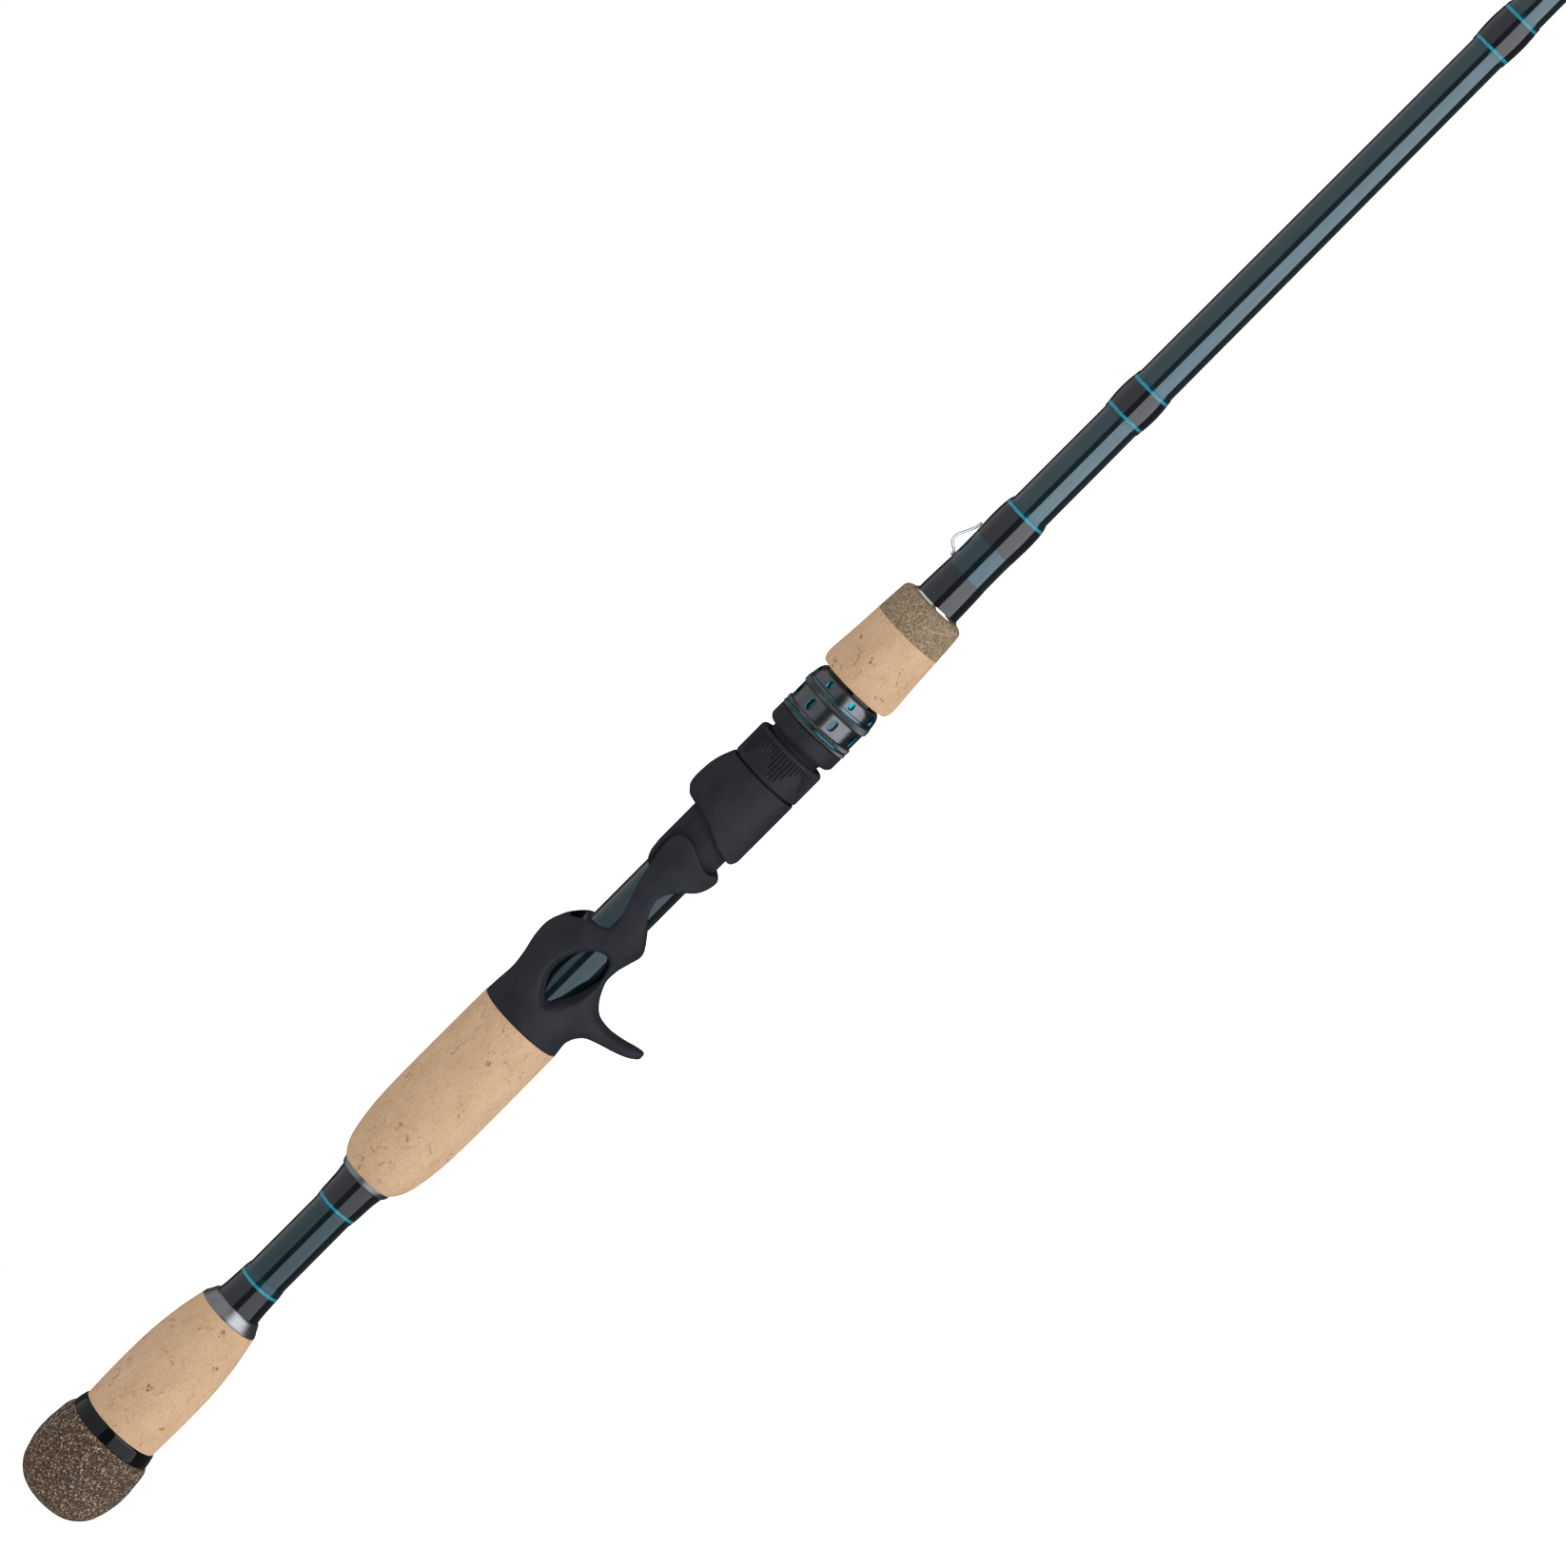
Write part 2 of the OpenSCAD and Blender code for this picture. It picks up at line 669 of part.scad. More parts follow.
module guide_wrap(k) {
    x = ring_x(k);
    r = ring_r(k);
    near = 1.15 * r + 2.4;
    out = near + 6 + 0.5 * r;
    color("#101214") {
        foot_wrap(x - near, x - out);
        if (k <= two_footed) foot_wrap(x + near, x + out);
    }
}

tip_r = tip_ring_size / 2;
tip_tube_r = blank_tip_r + 0.55;
tip_z = tip_tube_r + 1.3 + holder_wall + tip_r;
tip_ring_x = rod_length - 0.7;

module tip_frame() {
    tube_start = tip_x - 14;
    color("#3b3e42") {
        difference() {
            rod_x(tube_start, tip_x, tip_tube_r);
            rod_x(tube_start - 1, tip_x - 1, blank_r(tube_start) + glue);
        }
        translate([tip_ring_x, 0, tip_z]) ring(-0.55, 0.55, tip_r + holder_wall, tip_r + glue / 2);
        for (side = [-1, 1])
            wire(curve([
                [tip_ring_x, side * (tip_r + 0.48), tip_z - 0.4],
                [tip_ring_x - 1.4, side * (tip_r - 0.1), tip_z - tip_r * 0.8],
                [tip_x - 5, side * 1.6, tip_tube_r + 1],
                [tip_x - 10, side * 0.8, tip_tube_r - 0.1]], 3), 0.4);
        wire([[tip_ring_x, 0, tip_z - tip_r - 0.5], [tip_x - 1.6, 0, tip_tube_r + 0.7],
            [tip_x - 3.2, 0, tip_tube_r - 0.3]], 0.4);
    }
}

module tip_wrap() {
    start = tip_x - 24;
    end = tip_x - 14.1;
    color("#101214") on_blank([
        [start, blank_r(start) + 0.1], [start + 1, blank_r(start) + 0.4],
        [end - 0.5, blank_r(end) + 0.5], [end, blank_r(end) + 0.4]]);
}

blank();
butt_cap();
butt_ring();
rear_grip();
rear_check();
rear_wrap();
rear_trim();
mid_wrap();
mid_trim();
main_check();
main_grip();
seat_core();
seat_body();
pocket_liner();
seat_barrel();
hood_shell();
hood_liner();
locking_nut();
lock_base();
lock_drum();
lock_sleeve();
lock_nose();
accent_rings();
lock_spacer();
fore_grip();
fore_tip();
fore_check();
keeper_wrap_rear();
keeper_coat();
keeper_wrap_front();
keeper_trim();
hook_keeper();
band_wrap(bands[0], crown_a);  // band_a_wrap
band_trim(bands[0], crown_a);  // band_a_trim
band_wrap(bands[1], crown_b);  // band_b_wrap
band_trim(bands[1], crown_b);  // band_b_trim
tip_frame();
ceramic_ring(tip_ring_x, tip_z, tip_r);  // tip_ring
tip_wrap();
for (k = [1 : 7]) {
    guide_frame(k);
    ceramic_ring(ring_x(k), ring_z(k), ring_r(k));
    guide_wrap(k);
}
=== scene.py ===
"""A casting rod with a trigger handle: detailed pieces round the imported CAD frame.

Shapes are written in millimetres in the frame's axes: +X from butt to tip, +Z to the
reel's side. Profiles of the turned pieces are read from the CAD nodes they stand for.
"""
import json
import math

import bmesh
import bpy
import numpy as np
from mathutils import Matrix, Vector


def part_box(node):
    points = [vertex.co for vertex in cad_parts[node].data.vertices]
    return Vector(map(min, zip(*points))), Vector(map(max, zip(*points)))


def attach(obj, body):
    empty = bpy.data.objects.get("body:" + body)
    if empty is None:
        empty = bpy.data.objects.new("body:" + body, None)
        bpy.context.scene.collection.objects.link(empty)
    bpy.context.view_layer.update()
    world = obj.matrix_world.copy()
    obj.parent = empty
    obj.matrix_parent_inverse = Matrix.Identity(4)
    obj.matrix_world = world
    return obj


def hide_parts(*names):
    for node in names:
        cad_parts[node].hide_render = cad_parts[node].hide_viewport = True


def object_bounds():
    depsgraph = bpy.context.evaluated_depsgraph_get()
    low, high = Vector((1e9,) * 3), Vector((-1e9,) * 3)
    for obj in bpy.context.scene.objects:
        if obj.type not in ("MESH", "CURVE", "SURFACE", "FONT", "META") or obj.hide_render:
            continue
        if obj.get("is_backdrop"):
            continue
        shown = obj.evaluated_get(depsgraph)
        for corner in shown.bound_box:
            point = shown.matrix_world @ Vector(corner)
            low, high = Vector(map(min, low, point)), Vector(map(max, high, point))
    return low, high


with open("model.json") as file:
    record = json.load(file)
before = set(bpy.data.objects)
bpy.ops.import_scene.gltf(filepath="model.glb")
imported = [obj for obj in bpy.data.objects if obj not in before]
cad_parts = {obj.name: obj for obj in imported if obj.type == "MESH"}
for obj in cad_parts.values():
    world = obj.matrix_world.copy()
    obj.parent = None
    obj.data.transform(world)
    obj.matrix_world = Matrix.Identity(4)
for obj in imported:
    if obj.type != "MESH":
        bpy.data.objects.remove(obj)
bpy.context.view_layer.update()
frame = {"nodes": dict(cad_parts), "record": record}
slots = {part["node"]: part["material_slot"] for part in frame["record"]["subparts"]}
bodies = {n: body for body, nodes in frame["record"]["behaviour"]["bodies"].items() for n in nodes}

MM = 0.001
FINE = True
CORNER_STEPS = 5

# ---- Small numeric helpers ----


def shares(a, b, step):
    """Even shares of the way from a to b, at most one step apart."""
    count = max(1, math.ceil(np.linalg.norm(b - a) / step))
    return np.arange(count) / count


def smooth_line(points, step, closed=False):
    """Catmull-Rom curve through points, with samples about one step apart."""
    p = np.array(points, float)
    p = np.concatenate([p[-1:], p, p[:2]] if closed else [p[:1], p, p[-1:]])
    out = [0.5 * (2 * b + (c - a) * t + (2 * a - 5 * b + 4 * c - d) * t**2
                  + (3 * b - a - 3 * c + d) * t**3)
           for a, b, c, d in zip(p, p[1:], p[2:], p[3:]) for t in shares(b, c, step)]
    return np.array(out if closed else [*out, p[-1]])


def straight_line(points, step):
    """The polyline itself, with samples at most one step apart."""
    p = np.array(points, float)
    return np.array([b + (c - b) * t for b, c in zip(p[:-1], p[1:]) for t in shares(b, c, step)]
                    + [p[-1]])


def softened(points, step, spread):
    """The polyline resampled and smoothed over about spread, with its ends kept."""
    p = np.array(points, float)
    walked = np.concatenate([[0], np.cumsum(np.linalg.norm(np.diff(p, axis=0), axis=1))])
    count = max(8, math.ceil(walked[-1] / min(step, spread / 3)))
    gap = walked[-1] / count
    at = np.linspace(0, walked[-1], count + 1)
    line = np.stack([np.interp(at, walked, p[:, k]) for k in (0, 1)], axis=1)
    reach = min(count, math.ceil(3 * spread / gap))
    weights = np.exp(-0.5 * (np.arange(-reach, reach + 1) * gap / spread)**2)
    weights /= weights.sum()
    before = 2 * line[0] - line[reach:0:-1]
    after = 2 * line[-1] - line[-2:-reach - 2:-1]
    longer = np.concatenate([before, line, after])
    soft = np.stack([np.convolve(longer[:, k], weights, "valid") for k in (0, 1)], axis=1)
    keep = max(1, round(step / gap))
    picked = soft[::keep]
    return np.concatenate([picked, soft[-1:]]) if (len(soft) - 1) % keep else picked


def rounded(points, radius):
    """The polyline with the corners between its ends rounded."""
    p = np.array(points, float)
    out = [p[0]]
    for a, b, c in zip(p[:-2], p[1:-1], p[2:]):
        start, end = (b + way / max(np.linalg.norm(way), 1e-9)
                      * min(radius, np.linalg.norm(way) * 0.45) for way in (a - b, c - b))
        for t in np.linspace(0, 1, CORNER_STEPS):
            out.append((1 - t)**2 * start + 2 * t * (1 - t) * b + t**2 * end)
    out.append(p[-1])
    return np.array(out)


def blend_max(a, b, k):
    """Larger of two distances, with the edge between them rounded over about k."""
    h = np.maximum(k - np.abs(a - b), 0) / k
    return np.maximum(a, b) + h * h * k / 4


def blend_min(a, b, k):
    return -blend_max(-a, -b, k)


def outline_distance(points, u, v):
    """Signed distance to a closed outline, negative inside."""
    p = np.array(points, float)
    u, v = np.broadcast_arrays(u, v)
    best = np.full(u.shape, np.inf)
    inside = np.zeros(u.shape, bool)
    for (u0, v0), (u1, v1) in zip(p, np.roll(p, -1, axis=0)):
        du, dv = u1 - u0, v1 - v0
        length = du * du + dv * dv
        if length < 1e-12:
            continue
        t = np.clip(((u - u0) * du + (v - v0) * dv) / length, 0, 1)
        best = np.minimum(best, (u - u0 - t * du)**2 + (v - v0 - t * dv)**2)
        if dv:
            inside ^= ((v0 > v) != (v1 > v)) & (u < u0 + (v - v0) * du / dv)
    return np.where(inside, -1, 1) * np.sqrt(best)


# ---- Mesh builders ----


def round_angles(count):
    return np.linspace(0, math.tau, count, endpoint=False)


def strips(rows, sides, count):
    """Faces over the first count strips between rows of points that run all round."""
    i, k = np.meshgrid(np.arange(count), np.arange(sides), indexing="ij")
    on, right = (i + 1) % rows, (k + 1) % sides
    return np.stack([i * sides + k, i * sides + right, on * sides + right, on * sides + k],
                    axis=-1).reshape(-1, 4)


def turn(profile, sides, push=None):
    """Closed solid of revolution about X; push gives new radii for x, angle and radius."""
    p = np.array(profile, float)
    angle = round_angles(sides)
    radius = np.repeat(p[:, 1:2], sides, axis=1)
    if push is not None:
        radius = push(p[:, 0:1], angle[None, :], radius)
    x = np.repeat(p[:, 0:1], sides, axis=1)
    verts = np.stack([x, -radius * np.cos(angle), radius * np.sin(angle)], axis=-1)
    return verts.reshape(-1, 3), strips(len(p), sides, len(p))


def skin(rings):
    """Closed mesh over rings of points, with a face on each end."""
    rings = np.asarray(rings, float)
    count, sides = rings.shape[:2]
    ends = [list(range(sides))[::-1], [(count - 1) * sides + k for k in range(sides)]]
    return rings.reshape(-1, 3), strips(count, sides, count - 1).tolist() + ends


def tube(path, radius, sides=16):
    """Closed wire along a path, with rounded ends."""
    p = np.array(path, float)
    along = np.gradient(p, axis=0)
    along /= np.linalg.norm(along, axis=1)[:, None]
    side = np.cross(along[0], [0.0, 1.0, 0.0])
    if np.linalg.norm(side) < 0.2:
        side = np.cross(along[0], [1.0, 0.0, 0.0])
    rings = []
    angle = round_angles(sides)[:, None]
    for point, way in zip(p, along):
        side = side - way * np.dot(side, way)
        side /= np.linalg.norm(side)
        rings.append(point + radius * (np.cos(angle) * side + np.sin(angle) * np.cross(way, side)))
    back, front = ([p[end] + (rings[end] - p[end]) * math.cos(t) + way * radius * math.sin(t)
                    for t in np.radians([30, 60, 80])]
                   for end, way in ((0, -along[0]), (-1, along[-1])))
    return skin(back[::-1] + rings + front)


def joined(*meshes):
    """Several (vertices, faces) as one."""
    verts, faces = [], []
    for v, f in meshes:
        faces.extend([i + len(verts) for i in face] for face in f)
        verts.extend(v)
    return verts, faces


def both_ends(grid, axis, rest=slice(None)):
    """Values at the starts and at the ends of a grid's edges along one axis."""
    starts, ends = [rest] * 3, [rest] * 3
    starts[axis], ends[axis] = slice(0, -1), slice(1, None)
    return grid[tuple(starts)], grid[tuple(ends)]


def surface(field, low, high, step):
    """Mesh of field = 0 by surface nets, pulled onto the surface. field is negative inside."""
    axes = [np.arange(a, b + step, step) for a, b in zip(low, high)]
    f = field(axes[0][:, None, None], axes[1][None, :, None], axes[2][None, None, :])
    f = np.broadcast_to(f, [len(a) for a in axes])
    inside = f < 0
    cells = [n - 1 for n in f.shape]
    total = np.zeros(cells + [3])
    count = np.zeros(cells)
    quads = []
    index = np.full(cells, -1)
    for axis in range(3):
        f0, f1 = both_ends(f, axis)
        crosses = (f0 < 0) != (f1 < 0)
        t = np.where(crosses, f0 / np.where(crosses, f0 - f1, 1), 0)
        others = [a for a in range(3) if a != axis]
        for shifts in np.ndindex(2, 2):
            pick = [slice(None)] * 3
            for other, shift in zip(others, shifts):
                pick[other] = slice(shift, cells[other] + shift)
            hit = crosses[tuple(pick)]
            count += hit
            total[..., axis] += np.where(hit, t[tuple(pick)], 0)
            for other, shift in zip(others, shifts):
                total[..., other] += hit * shift
    active = np.argwhere(count > 0)
    index[tuple(active.T)] = np.arange(len(active))
    verts = active + total[tuple(active.T)] / count[tuple(active.T)][:, None]
    verts = verts * step + np.array([a[0] for a in axes])
    for axis in range(3):
        second, third = (axis + 1) % 3, (axis + 2) % 3
        start, end = both_ends(inside, axis, slice(1, -1))
        for flip, where in ((False, start & ~end), (True, ~start & end)):
            at = np.argwhere(where) + 1
            at[:, axis] -= 1
            corners = []
            for a, b in ((-1, -1), (0, -1), (0, 0), (-1, 0)):
                cell = at.copy()
                cell[:, second] += a
                cell[:, third] += b
                corners.append(index[tuple(cell.T)])
            quad = np.stack(corners, axis=1)
            quads.append(quad[:, ::-1] if flip else quad)
    nudge = step * 0.25
    for _ in range(2):
        x, y, z = verts.T
        here = field(x, y, z)
        slope = np.stack([field(x + nudge, y, z) - here, field(x, y + nudge, z) - here,
                          field(x, y, z + nudge) - here], axis=1) / nudge
        size = np.maximum((slope**2).sum(axis=1), 0.2)
        move = slope * (here / size)[:, None]
        length = np.linalg.norm(move, axis=1)[:, None]
        verts = verts - move * np.minimum(1, 0.4 * step / np.maximum(length, 1e-9))
    return verts, np.concatenate(quads)


def station(node):
    """Where a node starts and ends along the rod, in millimetres."""
    low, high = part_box(node)
    return low.x / MM, high.x / MM


def outer_profile(node):
    """[x, radius] of a turned node's outside, with its inner radii at both ends."""
    mesh = frame["nodes"][node].data
    outside, ends = {}, {}
    for face in mesh.polygons:
        centre, normal = face.center, face.normal
        out = (centre.y * normal.y + centre.z * normal.z) / math.hypot(centre.y, centre.z, 1e-9)
        for v in face.vertices:
            co = mesh.vertices[v].co / MM
            x, r = round(co.x, 2), math.hypot(co.y, co.z)
            ends[x] = min(ends.get(x, r), r)
            if out > 0.03:
                outside[x] = max(outside.get(x, 0), r)
    return np.array(sorted(outside.items())), ends[min(ends)], ends[max(ends)]


# ---- Materials ----

LOOKS = {}


class Look:
    """A material, kept in LOOKS by its name, and short calls for its nodes."""

    def __init__(self, name, color, roughness, **values):
        LOOKS[name] = self.mat = bpy.data.materials.new(name)
        self.mat.use_nodes = True
        self.tree = self.mat.node_tree
        self.shader = self.tree.nodes["Principled BSDF"]
        self.set(Base_Color=(*color, 1), Roughness=roughness, **values)
        self.place = self.node("ShaderNodeTexCoord").outputs["Object"]

    def feed(self, socket, value):
        if isinstance(value, bpy.types.NodeSocket):
            self.tree.links.new(value, socket)
        else:
            socket.default_value = value

    def set(self, **values):
        for name, value in values.items():
            self.feed(self.shader.inputs[name.replace("_", " ")], value)

    def node(self, kind, settings=(), **inputs):
        """A new node; its inputs are given by name, or by number as i0, i1 and so on."""
        made = self.tree.nodes.new(kind)
        for name, value in dict(settings).items():
            setattr(made, name, value)
        for name, value in inputs.items():
            numbered = name[0] == "i" and name[1:].isdigit()
            self.feed(made.inputs[int(name[1:]) if numbered else name.replace("_", " ")], value)
        return made

    def pit(self):
        return self.node("ShaderNodeAttribute", {"attribute_name": "pit"}).outputs["Fac"]

    def along(self, place=None):
        return self.node("ShaderNodeSeparateXYZ", Vector=place or self.place).outputs["X"]

    def scaled(self, scale, place=None):
        """The place in cells of one over scale metres, along one or three axes."""
        scale = scale if isinstance(scale, tuple) else (scale,) * 3
        return self.node("ShaderNodeMapping", Vector=place or self.place,
                         Scale=scale).outputs["Vector"]

    def noise(self, scale, detail=3.0, rough=0.55, place=None):
        return self.node("ShaderNodeTexNoise", Vector=self.scaled(scale, place), Scale=1.0,
                         Detail=detail, Roughness=rough).outputs["Fac"]

    def cells(self, scale, place=None):
        return self.node("ShaderNodeTexVoronoi", Vector=self.scaled(scale, place), Scale=1.0)

    def math(self, operation, a, b=0.0):
        return self.node("ShaderNodeMath", {"operation": operation}, i0=a, i1=b).outputs[0]

    def span(self, value, low, high, to_low=0.0, to_high=1.0):
        """A value of low to high turned into one of to_low to to_high."""
        return self.node("ShaderNodeMapRange", Value=value, From_Min=low, From_Max=high,
                         To_Min=to_low, To_Max=to_high).outputs["Result"]

    def mix(self, factor, a, b):
        made = self.node("ShaderNodeMix", {"data_type": "RGBA"})
        for key, value in ((0, factor), (6, a), (7, b)):
            self.feed(made.inputs[key], (*value, 1) if isinstance(value, tuple) else value)
        return made.outputs[2]

    def steps(self, value, stops):
        """Flat steps of colour; each starts at its place and the first two are there already."""
        made = self.node("ShaderNodeValToRGB", Fac=value)
        made.color_ramp.interpolation = "CONSTANT"
        marks = made.color_ramp.elements
        for at, _ in stops[2:]:
            marks.new(at)
        for mark, (at, color) in zip(marks, stops):
            mark.position, mark.color = at, (*color, 1)
        return made.outputs["Color"]

    def bump(self, height, depth, strength):
        """Normals for a height of 0 to 1 over depth metres."""
        return self.node("ShaderNodeBump", Height=height, Strength=strength,
                         Distance=depth).outputs["Normal"]

    def round_place(self, radius):
        """Coordinates unrolled round the rod's axis: along, round and out, in metres."""
        parts = self.node("ShaderNodeSeparateXYZ", Vector=self.place)
        turn_angle = self.math("ARCTAN2", parts.outputs["Z"], parts.outputs["Y"])
        out = self.math("POWER", self.math("ADD", self.math(
            "POWER", parts.outputs["Y"], 2.0), self.math("POWER", parts.outputs["Z"], 2.0)), 0.5)
        return self.node("ShaderNodeCombineXYZ", X=parts.outputs["X"],
                         Y=self.math("MULTIPLY", turn_angle, radius), Z=out).outputs[0]


def shaded(color, share):
    return tuple(c * share for c in color)


def cork_look():
    look = Look("cork", (0.6, 0.4, 0.24), 0.72, Specular_IOR_Level=0.2)
    pit = look.pit()
    mottle = look.noise((70, 150, 150), 4, 0.6)
    streak = look.noise((330, 700, 700), 4, 0.62)
    grain = look.noise(2400, 4, 0.6)
    base = look.mix(look.span(mottle, 0.35, 0.65), (0.645, 0.42, 0.252), (0.55, 0.338, 0.187))
    base = look.mix(look.span(streak, 0.52, 0.70, 0, 0.45), base, (0.46, 0.265, 0.135))
    base = look.mix(look.span(grain, 0.42, 0.66, 0, 0.5), base, (0.80, 0.59, 0.41))
    creases = look.node("ShaderNodeTexNoise", {"noise_type": "RIDGED_MULTIFRACTAL"},
                        Vector=look.scaled((210, 360, 360)), Scale=1.0, Detail=4.0,
                        Roughness=0.6).outputs["Fac"]
    where = look.span(look.noise((110, 190, 190), 2), 0.50, 0.62)
    crease = look.math("MULTIPLY", look.span(creases, 0.72, 1.05), where)
    base = look.mix(look.math("MULTIPLY", crease, 0.5), base, (0.30, 0.15, 0.07))
    dots = look.cells((700, 1500, 1500))
    pores = look.math("MULTIPLY", look.span(dots.outputs["Distance"], 0.1, 0.22, 1, 0),
                      look.span(look.noise(220, 2), 0.52, 0.6))
    base = look.mix(look.math("MULTIPLY", pores, 0.55), base, (0.27, 0.13, 0.06))
    base = look.mix(look.span(pit, 0.0, 0.45, 0, 0.7), base, (0.36, 0.19, 0.09))
    base = look.mix(look.span(pit, 0.5, 0.95, 0, 0.85), base, (0.13, 0.065, 0.03))
    height = look.math("SUBTRACT", grain, look.math("ADD", pores, crease))
    look.set(Base_Color=base, Roughness=look.span(grain, 0.3, 0.7, 0.62, 0.85),
             Normal=look.bump(height, 0.00012, 0.5))


def granule_look(name, ground, steps, size, rust=None):
    """Rubberised cork: packed granules of a few colours."""
    look = Look(name, ground, 0.8, Specular_IOR_Level=0.2)
    wander = look.node("ShaderNodeTexNoise", Vector=look.scaled(900), Scale=1.0, Detail=2)
    bent = look.node("ShaderNodeVectorMath", {"operation": "MULTIPLY_ADD"},
                     i0=wander.outputs["Color"], i1=(size * 0.9,) * 3, i2=look.place).outputs[0]
    small = look.cells(1 / size, bent)
    tint = look.node("ShaderNodeSeparateColor", Color=small.outputs["Color"]).outputs["Red"]
    base = look.steps(tint, steps)
    if rust:
        large = look.cells(0.45 / size, bent)
        pick = look.node("ShaderNodeSeparateColor", Color=large.outputs["Color"]).outputs["Green"]
        base = look.mix(look.span(pick, 0.985, 0.988), base, rust)
    shade = look.noise(3000, 3)
    height = look.math("ADD", look.math("MULTIPLY", tint, 0.6), look.math("MULTIPLY", shade, 0.4))
    look.set(Base_Color=look.mix(look.span(shade, 0.3, 0.7, 0, 0.2), base, ground),
             Roughness=look.span(shade, 0.3, 0.7, 0.65, 0.92),
             Normal=look.bump(height, 0.00016, 0.7))


def plastic_look(name, color, roughness, grain=0.35, **values):
    """Soft-touch moulded plastic with a fine grain and faint wear."""
    look = Look(name, color, roughness, **values)
    wear = look.noise(140, 5, 0.65)
    light = tuple(min(1, c * 1.35 + 0.003) for c in color)
    look.set(Base_Color=look.mix(look.span(wear, 0.35, 0.7), color, light),
             Roughness=look.span(wear, 0.3, 0.7, roughness - 0.05, roughness + 0.07),
             Normal=look.bump(look.noise(5200, 2), 0.00005, grain))


def gloss_look(name, color, painted_light_fore=None, **values):
    """Clear-coated dark surface with faint depth; the tint given after the colour is painted light:
    a lighter colour ahead of the seat for the brighter light on the blank there.
    """
    look = Look(name, color, 0.2, Coat_Weight=1.0, Coat_Roughness=0.02, **values)
    depth = look.noise((120, 700, 700), 4, 0.6)
    dark = shaded(color, 0.7)
    if painted_light_fore:
        # painted light: the colour turns lighter ahead of the seat, where the blank is lit more
        # brightly
        where = look.span(look.along(), 0.3, 0.36)
        dark = look.mix(where, dark, shaded(painted_light_fore, 0.7))
        color = look.mix(where, color, painted_light_fore)
    look.set(Base_Color=look.mix(look.span(depth, 0.3, 0.7), dark, color),
             Roughness=look.span(look.noise(1500, 2), 0.3, 0.7, 0.08, 0.15))


THREAD_W = 0.00018
WRAP_R = 0.0063
BARE_FINISH = (0.005, 0.042, 0.06)


def thread_look(name, color, shine, sparkle, **values):
    """Wound thread sealed under a clear finish, which runs out past the thread where pit is 1; the
    grooves between strands get painted shade.
    """
    look = Look(name, color, 0.38, Coat_Weight=1.0, Coat_Roughness=0.02, **values)
    unrolled = look.round_place(WRAP_R)
    phase = look.math("MULTIPLY", look.along(unrolled), math.pi / THREAD_W)
    strand = look.math("ABSOLUTE", look.math("SINE", phase))
    fibre = look.noise((5600, 500, 1), 3, 0.6, unrolled)
    mixed = look.mix(look.span(fibre, 0.4, 0.7, 0, sparkle), color, shine)
    # painted shade: the colour darkens towards 45% in the grooves between strands
    thread_and_painted_shade = look.mix(look.span(strand, 0.0, 0.5, 0.8, 0), mixed, shaded(color, 0.45))
    bare = look.pit()
    look.set(Base_Color=look.mix(bare, thread_and_painted_shade, BARE_FINISH), Metallic=bare,
             Normal=look.bump(look.math("MAXIMUM", strand, bare), 0.00006, 0.6))


def metal_look(name, color, roughness, marks_scale=1800):
    """Machined metal with smudges and fine marks."""
    look = Look(name, color, roughness, Metallic=1.0)
    marks = look.noise(marks_scale, 3, 0.6)
    smudge = look.noise(130, 4)
    look.set(Base_Color=look.mix(look.span(smudge, 0.3, 0.7), color, shaded(color, 0.75)),
             Roughness=look.span(marks, 0.3, 0.7, roughness * 0.75, roughness * 1.35),
             Normal=look.bump(marks, 0.00002, 0.25))


TURNED = (9000, 160, 160)
cork_look()
granule_look(
    "rubber_cork", (0.07, 0.046, 0.031),
    [(0, (0.05, 0.033, 0.023)), (0.3, (0.10, 0.065, 0.043)), (0.52, (0.02, 0.015, 0.011)),
     (0.68, (0.20, 0.128, 0.08)), (0.82, (0.62, 0.45, 0.30)), (0.90, (0.125, 0.075, 0.045))],
    0.00031, (0.27, 0.10, 0.05))
granule_look(
    "fore_burl", (0.21, 0.148, 0.088),
    [(0, (0.28, 0.198, 0.118)), (0.35, (0.37, 0.268, 0.168)), (0.58, (0.14, 0.097, 0.057)),
     (0.74, (0.46, 0.36, 0.24)), (0.88, (0.20, 0.14, 0.08))], 0.00032)
plastic_look("seat_plastic", (0.0165, 0.0175, 0.0222), 0.55, Specular_IOR_Level=0.09)
plastic_look("liner", (0.06, 0.062, 0.065), 0.7, 0.6)
gloss_look("gloss_trim", (0.004, 0.0045, 0.006), Coat_IOR=1.33, Specular_IOR_Level=0.0)
# the second colour is painted light: the blank is drawn lighter ahead of the seat for the brighter
# light there
gloss_look("carbon_blank", (0.009, 0.033, 0.042), (0.020, 0.050, 0.062), Metallic=0.75,
           Coat_IOR=1.42)
gloss_look("clear_coat", (0.013, 0.043, 0.055), Metallic=0.75, Coat_IOR=1.40)
thread_look("thread_wrap", (0.0022, 0.003, 0.006), (0.012, 0.016, 0.028), 0.5, Coat_IOR=1.5,
            Specular_IOR_Level=0.05)
thread_look("cyan_trim", (0.0, 0.22, 0.34), (0.03, 0.70, 0.88), 0.95, Coat_IOR=1.35,
            Specular_IOR_Level=0.1)
metal_look("check_metal", (0.24, 0.245, 0.25), 0.32, TURNED)
metal_look("anodised", (0.11, 0.115, 0.12), 0.22, TURNED)
metal_look("sleeve_blue", (0.06, 0.10, 0.125), 0.3, TURNED)
metal_look("accent", (0.02, 0.21, 0.25), 0.25)
metal_look("silver", (0.72, 0.72, 0.73), 0.12)
metal_look("guide_frame", (0.12, 0.125, 0.13), 0.25)
gloss_look("guide_ring", (0.02, 0.021, 0.024), Coat_IOR=1.8)

# ---- Pieces in place of CAD nodes ----


def add(name, data):
    """A new object in the scene."""
    made = bpy.data.objects.new(name, data)
    bpy.context.scene.collection.objects.link(made)
    return made


